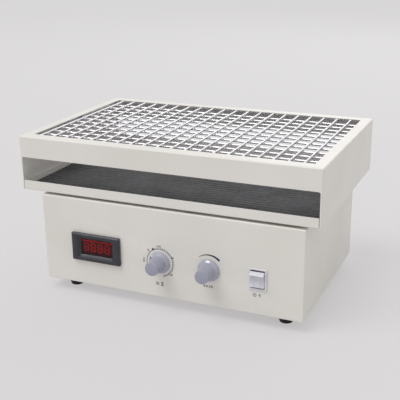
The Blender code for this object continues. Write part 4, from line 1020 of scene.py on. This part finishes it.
def makeDigit(shape, across, up, floor):
    # the seven segments of one digit, all lit
    half = meter["digitWidth"] / 2 - meter["segment"] / 2
    tall = meter["digitHeight"] / 2 - meter["segment"] / 2
    thick = meter["segment"] / 2
    gap, lift = meter["segmentGap"], meter["segmentLift"]
    flat = [(0, tall), (0, 0), (0, -tall)]
    standing = [(-half, tall / 2), (half, tall / 2), (-half, -tall / 2), (half, -tall / 2)]
    for x, y in flat:
        reach = half - gap
        outline = [
            (-reach, 0), (-reach + thick, -thick), (reach - thick, -thick), (reach, 0),
            (reach - thick, thick), (-reach + thick, thick)]
        slab(shape, [(across + x + a, up + y + b) for a, b in outline], floor, floor + lift)
    for x, y in standing:
        reach = tall / 2 - gap
        outline = [
            (0, reach), (-thick, reach - thick), (-thick, -reach + thick), (0, -reach),
            (thick, -reach + thick), (thick, reach - thick)]
        slab(shape, [(across + x + a, up + y + b) for a, b in outline], floor, floor + lift)


knob = {
    "rim": 16, "rimLow": 0.8, "rimHigh": 2.4, "coneTop": 5.4, "coneRadius": 12.4, "grip": 11.5,
    "tip": 10.2, "reach": 27, "flutes": 44, "fluteDepth": 0.5, "stepsPerFlute": 4, "shaft": 3,
    "shaftEnd": -11.2,
}


def polar(radius, angle, level):
    return (radius * math.cos(angle) * mm, radius * math.sin(angle) * mm, level * mm)


def gripLoft(shape, profile, ribs, perRib, **caps):
    # a ring for each radius, level and depth of the dips between the ribs
    rows = []
    for radius, level, depth in profile:
        row = []
        for index in range(ribs * perRib):
            angle = 2 * math.pi * index / (ribs * perRib)
            row.append(polar(radius - (0.5 - 0.5 * math.cos(ribs * angle)) * depth, angle, level))
        rows.append(row)
    loft(shape, rows, **caps)


def makeKnob(name, node, body, place, patches):
    shape = bmesh.new()
    low, high = knob["rimLow"], knob["rimHigh"]
    rim, cone, top = knob["rim"], knob["coneRadius"], knob["coneTop"]
    grip, tip, reach, deep = knob["grip"], knob["tip"], knob["reach"], knob["fluteDepth"]
    shaft, flutes, perFlute = knob["shaft"], knob["flutes"], knob["stepsPerFlute"]
    gripLoft(shape, [
        (shaft, knob["shaftEnd"], 0), (shaft, low, 0), (rim - 0.5, low, 0), (rim - 0.12, low + 0.15, 0),
        (rim, low + 0.5, 0), (rim, high - 0.3, 0), (rim - 0.15, high - 0.08, 0),
        (rim - 0.5, high + 0.12, 0), (cone + 0.6, top - 0.7, 0), (cone, top - 0.2, 0),
        (cone - 0.35, top, 0), (grip + 0.1, top + 0.05, 0), (grip, top + 0.5, deep * 0.5),
        (grip - 0.03, top + 1.2, deep), ((grip + tip) / 2, (top + reach) / 2, deep),
        (tip, reach - 1.3, deep), (tip - 0.1, reach - 0.7, deep * 0.6),
        (tip - 0.35, reach - 0.25, deep * 0.15), (tip - 0.75, reach - 0.03, 0)],
        flutes, perFlute, firstCap=True)
    # the cap is a thin disc let into the tip
    gripLoft(shape, [
        (tip - 0.75, reach - 0.03, 0), (tip - 0.95, reach - 0.2, 0), (tip - 1.1, reach - 0.25, 0),
        (tip - 1.4, reach - 0.12, 0)], flutes, perFlute, lastCap=True, finish=1)
    bmesh.ops.remove_doubles(shape, verts=shape.verts, dist=0.001 * mm)
    # the pointer inlays, and on the timer a patch of painted shade
    layPatches(shape, patches)
    made = meshAt(place, name, shape, knobPlastic, knobCap, pointerWhite, paintedSkirtShade)
    return settle(softShade(made, 30), body, "knob_plastic", node)


def coneLevel(radius):
    share = (knob["rim"] - 0.5 - radius) / (knob["rim"] - 0.5 - knob["coneRadius"] - 0.6)
    return knob["rimHigh"] + 0.12 + share * (knob["coneTop"] - 0.7 - knob["rimHigh"] - 0.12)


def skirtPatch(shape, middle, halfSpread, inner, outer, lift, finish):
    # a thin inlay, or a patch of painted shade, that lies on the skirt's cone: angles in degrees from +x
    rows = []
    for height in (-0.2, lift):
        row = []
        steps = 12
        for radius, order in ((outer, range(steps + 1)), (inner, reversed(range(steps + 1)))):
            for index in order:
                angle = math.radians(middle - halfSpread + 2 * halfSpread * index / steps)
                row.append(polar(radius, angle, coneLevel(radius) + height))
        rows.append(row)
    loft(shape, rows, firstCap=True, lastCap=True, finish=finish)


def layPatches(shape, patches):
    for part in patches:
        skirtPatch(shape, *part)


# angle, half its spread, inner and outer radius, lift, finish
# on the timer, the first patch is painted shade on the skirt beside the grip, and the second is the white
# pointer
timerPointerAndShade = [(147.5, 12, 13.1, 15.4, 0.14, 3), (138, 3.6, 13.1, 15.4, 0.24, 2)]
speedPointer = [(90, 11.5, 13.1, 15.4, 0.2, 2)]

switch = {
    "halfWidth": 13, "halfHeight": 16, "stand": 2, "strip": 2.6, "bodyHalf": (11.7, 14.6),
    "bodyDepth": 25.2, "pocket": -12, "tilt": 12, "rockerHalf": 12, "rockerWide": 10.1,
    "valley": 2.4, "crest": 6.35, "crestAt": 9.5, "scoopSteps": 16,
    "end": [(12, 0), (12, 0.6), (11.93, 0.9), (9.85, 5.75), (9.65, 6.2)], "back": [(-7, -5), (7, -5)],
    "dash": [(-1.9, 3.9), (1.9, 3.9), (1.9, 3.3), (-1.9, 3.3)], "ringAt": -4.6, "ring": (2.5, 1.8),
}


def makeSwitchFrame():
    wide, tall, front = switch["halfWidth"], switch["halfHeight"], switch["stand"]
    inWide, inTall = wide - switch["strip"], tall - switch["strip"]
    bodyWide, bodyTall = switch["bodyHalf"]
    shape = bmesh.new()
    # body, seat of the frame, its side and rounded front, then the pocket
    ringLoft(shape, [
        (bodyWide, bodyTall, 0.5, -switch["bodyDepth"]), (bodyWide, bodyTall, 0.5, 0.3),
        (wide - 0.1, tall - 0.1, 0.9, 0.3), (wide, tall, 1, 0.45), (wide, tall, 1, front - 0.75),
        (wide - 0.15, tall - 0.15, 1, front - 0.35), (wide - 0.5, tall - 0.5, 1, front - 0.06),
        (wide - 0.8, tall - 0.8, 0.9, front), (inWide + 0.35, inTall + 0.35, 0.7, front),
        (inWide + 0.1, inTall + 0.1, 0.6, front - 0.1), (inWide, inTall, 0.5, front - 0.4),
        (inWide, inTall, 0.5, switch["pocket"])], firstCap=True, lastCap=True)
    made = meshAt(onPanel(*base["switchAt"]), "switchFrame", shape, switchPlastic)
    settle(softShade(made, 30), "base", "switch_plastic", "switch_frame")


def scoop(height):
    share = min(1, abs(height) / switch["crestAt"])
    return switch["valley"] + (switch["crest"] - switch["valley"]) * share ** 2


def makeRocker():
    # side profile (height, reach): the upper end, the scoop, and the end mirrored
    upper = switch["end"]
    steps = switch["scoopSteps"]
    heights = [switch["crestAt"] * (1 - 2 * index / steps) for index in range(steps + 1)]
    lower = [(-height, reach) for height, reach in reversed(upper)]
    outline = upper + [(height, scoop(height)) for height in heights] + lower + switch["back"]
    wide = switch["rockerWide"]
    shape = bmesh.new()
    rows = []
    for across, shrink in ((-wide, 0.3), (-wide + 0.3, 0), (wide - 0.3, 0), (wide, 0.3)):
        row = []
        for height, reach in outline:
            drawn = reach - shrink if reach > 0 else reach
            row.append((across * mm, height * (1 - shrink / switch["rockerHalf"]) * mm, drawn * mm))
        rows.append(row)
    loft(shape, rows, firstCap=True, lastCap=True)
    # dash and ring, raised a little on the scoop
    outer, inner = [circleSpots((0, switch["ringAt"]), radius, 28) for radius in switch["ring"]]
    scoopLoft(shape, [(switch["dash"], -0.1), (switch["dash"], 0.08)], firstCap=True, lastCap=True)
    scoopLoft(shape, [(outer, -0.1), (outer, 0.08), (inner, 0.08), (inner, -0.1)])
    place = onPanel(*base["switchAt"]) @ Matrix.Rotation(math.radians(switch["tilt"]), 4, "X")
    made = meshAt(place, "rocker", shape, rockerPlastic, rockerMark)
    return settle(softShade(made, 32), "rocker", "switch_plastic", "switch_rocker")


def scoopLoft(shape, rings, **caps):
    # outlines laid on the scoop, each with its own lift
    loft(shape, [
        [(across * mm, up * mm, (scoop(up) + lift) * mm) for across, up in outline]
        for outline, lift in rings], finish=1, **caps)


dial = {
    "radius": 20.2, "line": 0.8, "from": 195, "to": -75, "tickFrom": 122, "tickStep": 7.5,
    "tickLength": 2.5, "tickWidth": 0.65, "lift": 0.06, "sink": 0.05,
    "marks": (195, 138), "markSpan": (19.8, 23), "markWidth": 0.6,
    "dotTurn": 118, "dotReach": 21.8, "dotRadius": 1.25,
    "numbers": [
        ("ON", -24.8, 0.3, 3.4, 90), ("0", -17.6, 16.4, 3.6, 45), ("min", -0.8, 24.6, 3.4, 0),
        ("60", 19.6, 9.6, 3.4, 0), ("120", 16.5, -16.5, 3.4, 0)],
}
wedge = {"radius": 22.8, "from": 130, "to": 46, "thin": 0.5, "thick": 3.3}
# arcs: place, centre, radius, from, to, steps; strokes: place, points, share of the line's width
signs = {
    "timer": (-4.5, 38), "speed": (70.5, 47), "power": (142.5, 46.5), "line": 0.8,
    "arcs": [
        ("timer", (-3.6, 0), 2, 0, 360, 28), ("speed", (4, -1.2), 2.6, 200, -20, 24),
        ("power", (-3.6, -0.3), 2, 125, 415, 28)],
    "strokes": [
        ("timer", [(-3.6, 1.2), (-3.6, 0), (-2.7, -0.5)], 0.8),
        ("timer", [(2.2, 2.3), (5.6, 2.3), (2.2, -2.3), (5.6, -2.3), (2.2, 2.3)], 1),
        ("speed", [(-6.4, 0), (-1.6, 0)], 1), ("speed", [(-5.6, 1.4), (-7, 0), (-5.6, -1.4)], 1),
        ("speed", [(-2.4, 1.4), (-1, 0), (-2.4, -1.4)], 1), ("speed", [(4, -1.2), (5.3, 0.7)], 1),
        ("power", [(-3.6, 2.3), (-3.6, 0)], 1),
        ("power", [(3.4, 2.5), (2.4, 0.2), (4.4, 0.2), (3.2, -2.5)], 1)],
}


def around(radius, degrees):
    turn = math.radians(degrees)
    return (radius * math.cos(turn), radius * math.sin(turn))


def arcBand(shape, place, radius, start, end, widths, steps, lift):
    # a flat curved band whose width runs from the first to the second value
    outer = []
    inner = []
    for index in range(steps + 1):
        share = index / steps
        angle = start + (end - start) * share
        half = (widths[0] + (widths[1] - widths[0]) * share) / 2
        outer.append(around(radius + half, angle))
        inner.append(around(radius - half, angle))
    drawSlab(shape, place, outer + list(reversed(inner)), lift)


def drawSlab(shape, place, outline, lift):
    slab(shape, outline, -dial["sink"], lift, place)


def stroke(shape, place, points, width):
    # each straight run of a pen line, with its ends overlapping a little
    for (x1, y1), (x2, y2) in zip(points, points[1:]):
        run = Vector((x2 - x1, y2 - y1)).normalized()
        side = Vector((-run.y, run.x)) * width / 2
        ahead = run * width / 2 * 0.8
        outline = [
            (x1 - ahead.x + side.x, y1 - ahead.y + side.y), (x1 - ahead.x - side.x, y1 - ahead.y - side.y),
            (x2 + ahead.x - side.x, y2 + ahead.y - side.y), (x2 + ahead.x + side.x, y2 + ahead.y + side.y)]
        drawSlab(shape, place, outline, dial["lift"])


def dialText(words, place, across, up, height, turn):
    curve = bpy.data.curves.new(f"dial{words}", "FONT")
    curve.body = words
    curve.size = height * 1.35 * mm
    curve.align_x = "CENTER"
    curve.align_y = "CENTER"
    curve.extrude = 0.05 * mm
    curve.offset = 0.06 * mm
    curve.resolution_u = 4
    made = addObject(f"dial{words}", curve)
    mesh = finalMesh(made)
    mesh.materials.clear()
    mesh.materials.append(panelInk)
    bpy.data.objects.remove(made, do_unlink=True)
    mesh.transform(place @ moved(across, up, 0) @ Matrix.Rotation(math.radians(turn), 4, "Z"))
    return addObject(f"dial{words}", mesh)


def dialMark(shape, place, degrees, inner, outer, width):
    stroke(shape, place, [around(inner, degrees), around(outer, degrees)], width)


def makePrint():
    shape = bmesh.new()
    place = onPanel(*base["timerAt"])
    ring, line, lift = dial["radius"], dial["line"], dial["lift"]
    arcBand(shape, place, ring, dial["from"], dial["to"], (line, line), 60, lift)
    angle = dial["tickFrom"]
    while angle > dial["to"] - 1:
        dialMark(shape, place, angle, ring, ring + dial["tickLength"], dial["tickWidth"])
        angle -= dial["tickStep"]
    for angle in dial["marks"]:
        dialMark(shape, place, angle, *dial["markSpan"], dial["markWidth"])
    middle = around(dial["dotReach"], dial["dotTurn"])
    drawSlab(shape, place, circleSpots(middle, dial["dotRadius"], 20), lift)
    arcBand(shape, onPanel(*base["speedAt"]), wedge["radius"], wedge["from"], wedge["to"],
            (wedge["thin"], wedge["thick"]), 40, lift)
    makeSigns(shape)
    ink = meshObject("panelPrint", shape, panelInk)
    words = [dialText(text, place, *rest) for text, *rest in dial["numbers"]]
    settle(joinPieces("panelPrint", [ink] + words), "base", None)


def makeSigns(shape):
    # small pictures in place of words: clock and sandglass, double arrow and gauge, power sign and flash
    line = signs["line"]
    for where, (across, up), radius, start, end, steps in signs["arcs"]:
        place = onPanel(*signs[where]) @ moved(across, up, 0)
        arcBand(shape, place, radius, start, end, (line, line), steps, dial["lift"])
    for where, points, share in signs["strokes"]:
        stroke(shape, onPanel(*signs[where]), points, line * share)


makeMeter()
makeKnob("timerKnob", "timer_knob", "timer", onPanel(*base["timerAt"]), timerPointerAndShade)
makeKnob("speedKnob", "speed_knob", "speed", onPanel(*base["speedAt"]), speedPointer)
makeSwitchFrame()
makeRocker()
makePrint()
print("front panel: meter, knobs, switch and print")


# Back panel: appliance inlet with its blades, fuse holder

inlet = {
    "halfWidth": 15.5, "halfHeight": 12, "corner": 4, "low": 0.3, "high": 3.3, "pocketHalf": (12, 8.2),
    "pocket": -11.7, "bodyHalf": (13.5, 10), "bodyDepth": 21.2, "blade": (1, 3), "bladeTip": -1.5,
    "bladeSpots": ((-7, -1.6), (0, 2.2), (7, -1.6)),
}


def makeInlet():
    shape = bmesh.new()
    wide, tall, corner = inlet["halfWidth"], inlet["halfHeight"], inlet["corner"]
    inWide, inTall = inlet["pocketHalf"]
    bodyWide, bodyTall = inlet["bodyHalf"]
    low, high = inlet["low"], inlet["high"]
    ringLoft(shape, [
        (bodyWide, bodyTall, 0.6, -inlet["bodyDepth"]), (bodyWide, bodyTall, 0.6, low),
        (wide - 0.1, tall - 0.1, corner, low), (wide, tall, corner, low + 0.2),
        (wide, tall, corner, high - 0.7), (wide - 0.2, tall - 0.2, corner, high - 0.2),
        (wide - 0.7, tall - 0.7, corner - 0.4, high), (inWide + 0.4, inTall + 0.4, 1.8, high),
        (inWide, inTall, 1.6, high - 0.4), (inWide, inTall, 1.6, inlet["pocket"])],
        firstCap=True, lastCap=True)
    across, deep = inlet["blade"]
    for x, y in inlet["bladeSpots"]:
        rows = []
        tip = inlet["bladeTip"]
        for level, shrink in ((inlet["pocket"] + 0.01, 0), (tip - 1, 0), (tip, 0.35)):
            rows.append([
                ((x + a) * mm, (y + b) * mm, level * mm)
                for a, b in roundedRing(across - shrink, deep - shrink, 0.3, 2)])
        loft(shape, rows, firstCap=True, lastCap=True, finish=1)
    made = meshAt(onBack(*base["inletAt"]), "inlet", shape, blackPlastic, bladeBrass)
    settle(softShade(made, 30), "base", "black_plastic", "power_inlet")


fuse = {"cap": 8, "reach": 7, "body": 6, "depth": 30, "slotHalf": 0.8, "slotDeep": 1.2, "ribs": 24,
        "stepsPerRib": 4}


def makeFuse():
    shape = bmesh.new()
    body, cap, reach = fuse["body"], fuse["cap"], fuse["reach"]
    gripLoft(shape, [
        (body, -fuse["depth"], 0), (body, 0.3, 0), (cap - 0.1, 0.3, 0), (cap, 0.5, 0), (cap, 1.8, 0),
        (cap - 0.5, 2.2, 0.3), (cap - 0.6, 5.6, 0.3), (cap - 0.9, 6.6, 0.1), (cap - 1.5, reach, 0)],
        fuse["ribs"], fuse["stepsPerRib"], firstCap=True, lastCap=True)
    place = onBack(*base["fuseAt"])
    made = meshAt(place, "fuseHolder", shape, blackPlastic)
    slot = ringCutter(cap + 2, fuse["slotHalf"], 0.1, 2 * fuse["slotDeep"], place @ moved(0, 0, reach), 2)
    applyModifiers(made, cutAway(made, slot))
    settle(softShade(made, 30), "base", "black_plastic", "fuse_holder")


makeInlet()
makeFuse()
print("back panel: inlet and fuse holder")


# CAD nodes that stay in view get the same finishes

kept = {
    "plain_steel": rodSteel, "cast_metal": castMetal, "motor_iron": motorPaint, "belt_rubber": beltRubber,
    "board_green": circuitGreen, "ivory_paint": ivoryCoat, "black_plastic": blackPlastic,
    "spring_steel": springSteel, "mat_rubber": matRubber, "foot_rubber": footRubber,
    "knob_plastic": knobPlastic, "switch_plastic": switchPlastic, "meter_plastic": meterPlastic,
    "meter_lens": smokedLens,
}
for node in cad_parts.values():
    if node.hide_render:
        continue
    for spot in node.material_slots:
        label = spot.material.name.split(".")[0] if spot.material else "plain_steel"
        spot.material = kept.get(label, rodSteel)
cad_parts["motor"].material_slots[0].material = motorPaint
print("kept nodes:", sum(not node.hide_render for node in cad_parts.values()))


# Floor, world, lamps and camera

studio = {
    "backdrop": tone(216, 214, 215), "floorHalf": 15000, "floorShare": 0.65, "floorTone": tone(214, 213, 213),
    "ambient": 0.66, "ambientTone": (1, 0.995, 0.99),
    "keyStrength": 1.35, "keyTurn": -38, "keyRise": 62, "keySpread": 34,
    "backWidth": 3, "backHeight": 2, "backWatts": 22, "backSpot": (0.3, 2.6, 1.9),
}


def seenDirectly(tree):
    # 1 for rays that come from the camera, a mirror or through glass
    path = addNode(tree, "ShaderNodeLightPath").outputs
    made = path["Is Camera Ray"]
    for label in ("Is Glossy Ray", "Is Transmission Ray"):
        made = combine(tree, "MAXIMUM", made, path[label])
    return made


def mixShaders(tree, share, one, other, surface):
    both = addNode(tree, "ShaderNodeMixShader")
    tree.links.new(share, both.inputs["Fac"])
    tree.links.new(one, both.inputs[1])
    tree.links.new(other, both.inputs[2])
    tree.links.new(both.outputs["Shader"], tree.nodes[surface].inputs["Surface"])


def makeFloor():
    half = studio["floorHalf"] * mm
    shape = bmesh.new()
    corners = [shape.verts.new((x * half, y * half, 0)) for x, y in ((-1, -1), (1, -1), (1, 1), (-1, 1))]
    shape.faces.new(corners)
    made, tree, shader = startMaterial("studioFloor")
    tree.nodes.remove(shader)
    matte = setInputs(addNode(tree, "ShaderNodeBsdfDiffuse"), Color=studio["floorTone"])
    glow = setInputs(addNode(tree, "ShaderNodeEmission"), Color=studio["backdrop"])
    share = times(tree, seenDirectly(tree), studio["floorShare"])
    mixShaders(tree, share, matte.outputs["BSDF"], glow.outputs["Emission"], "Material Output")
    meshObject("studioFloor", shape, made)


def makeWorld():
    world = bpy.data.worlds.new("studio")
    world.use_nodes = True
    bpy.context.scene.world = world
    tree = world.node_tree
    ambient = setInputs(tree.nodes["Background"], Color=(*studio["ambientTone"], 1),
                        Strength=studio["ambient"])
    seen = setInputs(addNode(tree, "ShaderNodeBackground"), Color=studio["backdrop"], Strength=1)
    mixShaders(tree, seenDirectly(tree), ambient.outputs["Background"], seen.outputs["Background"],
               "World Output")


def direction(turn, rise):
    # from the middle out: turn is measured from the front, rise from the floor
    return Vector((math.sin(turn) * math.cos(rise), -math.cos(turn) * math.cos(rise), math.sin(rise)))


def makeLamp(name, kind, strength, towards, **settings):
    data = bpy.data.lights.new(name, kind)
    data.energy = strength
    for key, value in settings.items():
        setattr(data, key, value)
    lamp = addObject(name, data)
    lamp.rotation_euler = (-towards).to_track_quat("-Z", "Y").to_euler()
    return lamp


def makeLamps():
    towards = direction(math.radians(studio["keyTurn"]), math.radians(studio["keyRise"]))
    makeLamp("keyLamp", "SUN", studio["keyStrength"], towards, angle=math.radians(studio["keySpread"]))
    # a wide soft lamp behind and above, which the springs and flange tops mirror
    spot = Vector(studio["backSpot"])
    lamp = makeLamp("backLamp", "AREA", studio["backWatts"], spot, shape="RECTANGLE",
                    size=studio["backWidth"], size_y=studio["backHeight"])
    lamp.location = spot


view = {
    "spot": (467.88, -1063.78, 522.29), "lens": 72.14, "turn": 0.4129, "rise": 0.3311, "roll": -0.0115,
}


def makeCamera():
    data = bpy.data.cameras.new("photoCamera")
    data.lens = view["lens"]
    data.sensor_width = 36
    data.clip_start = 0.01
    data.clip_end = 100
    made = addObject("photoCamera", data)
    turn, roll = view["turn"], view["roll"]
    back = direction(turn, view["rise"])
    right = Vector((math.cos(turn), math.sin(turn), 0))
    up = back.cross(right)
    tiltedRight = right * math.cos(roll) + up * math.sin(roll)
    tiltedUp = up * math.cos(roll) - right * math.sin(roll)
    matrix = Matrix((tiltedRight, tiltedUp, back)).transposed().to_4x4()
    matrix.translation = Vector(view["spot"]) * mm
    made.matrix_world = matrix
    bpy.context.scene.camera = made


makeFloor()
makeWorld()
makeLamps()
makeCamera()
bpy.context.scene.view_settings.view_transform = "Standard"
print("studio: floor, world, lamps and camera")
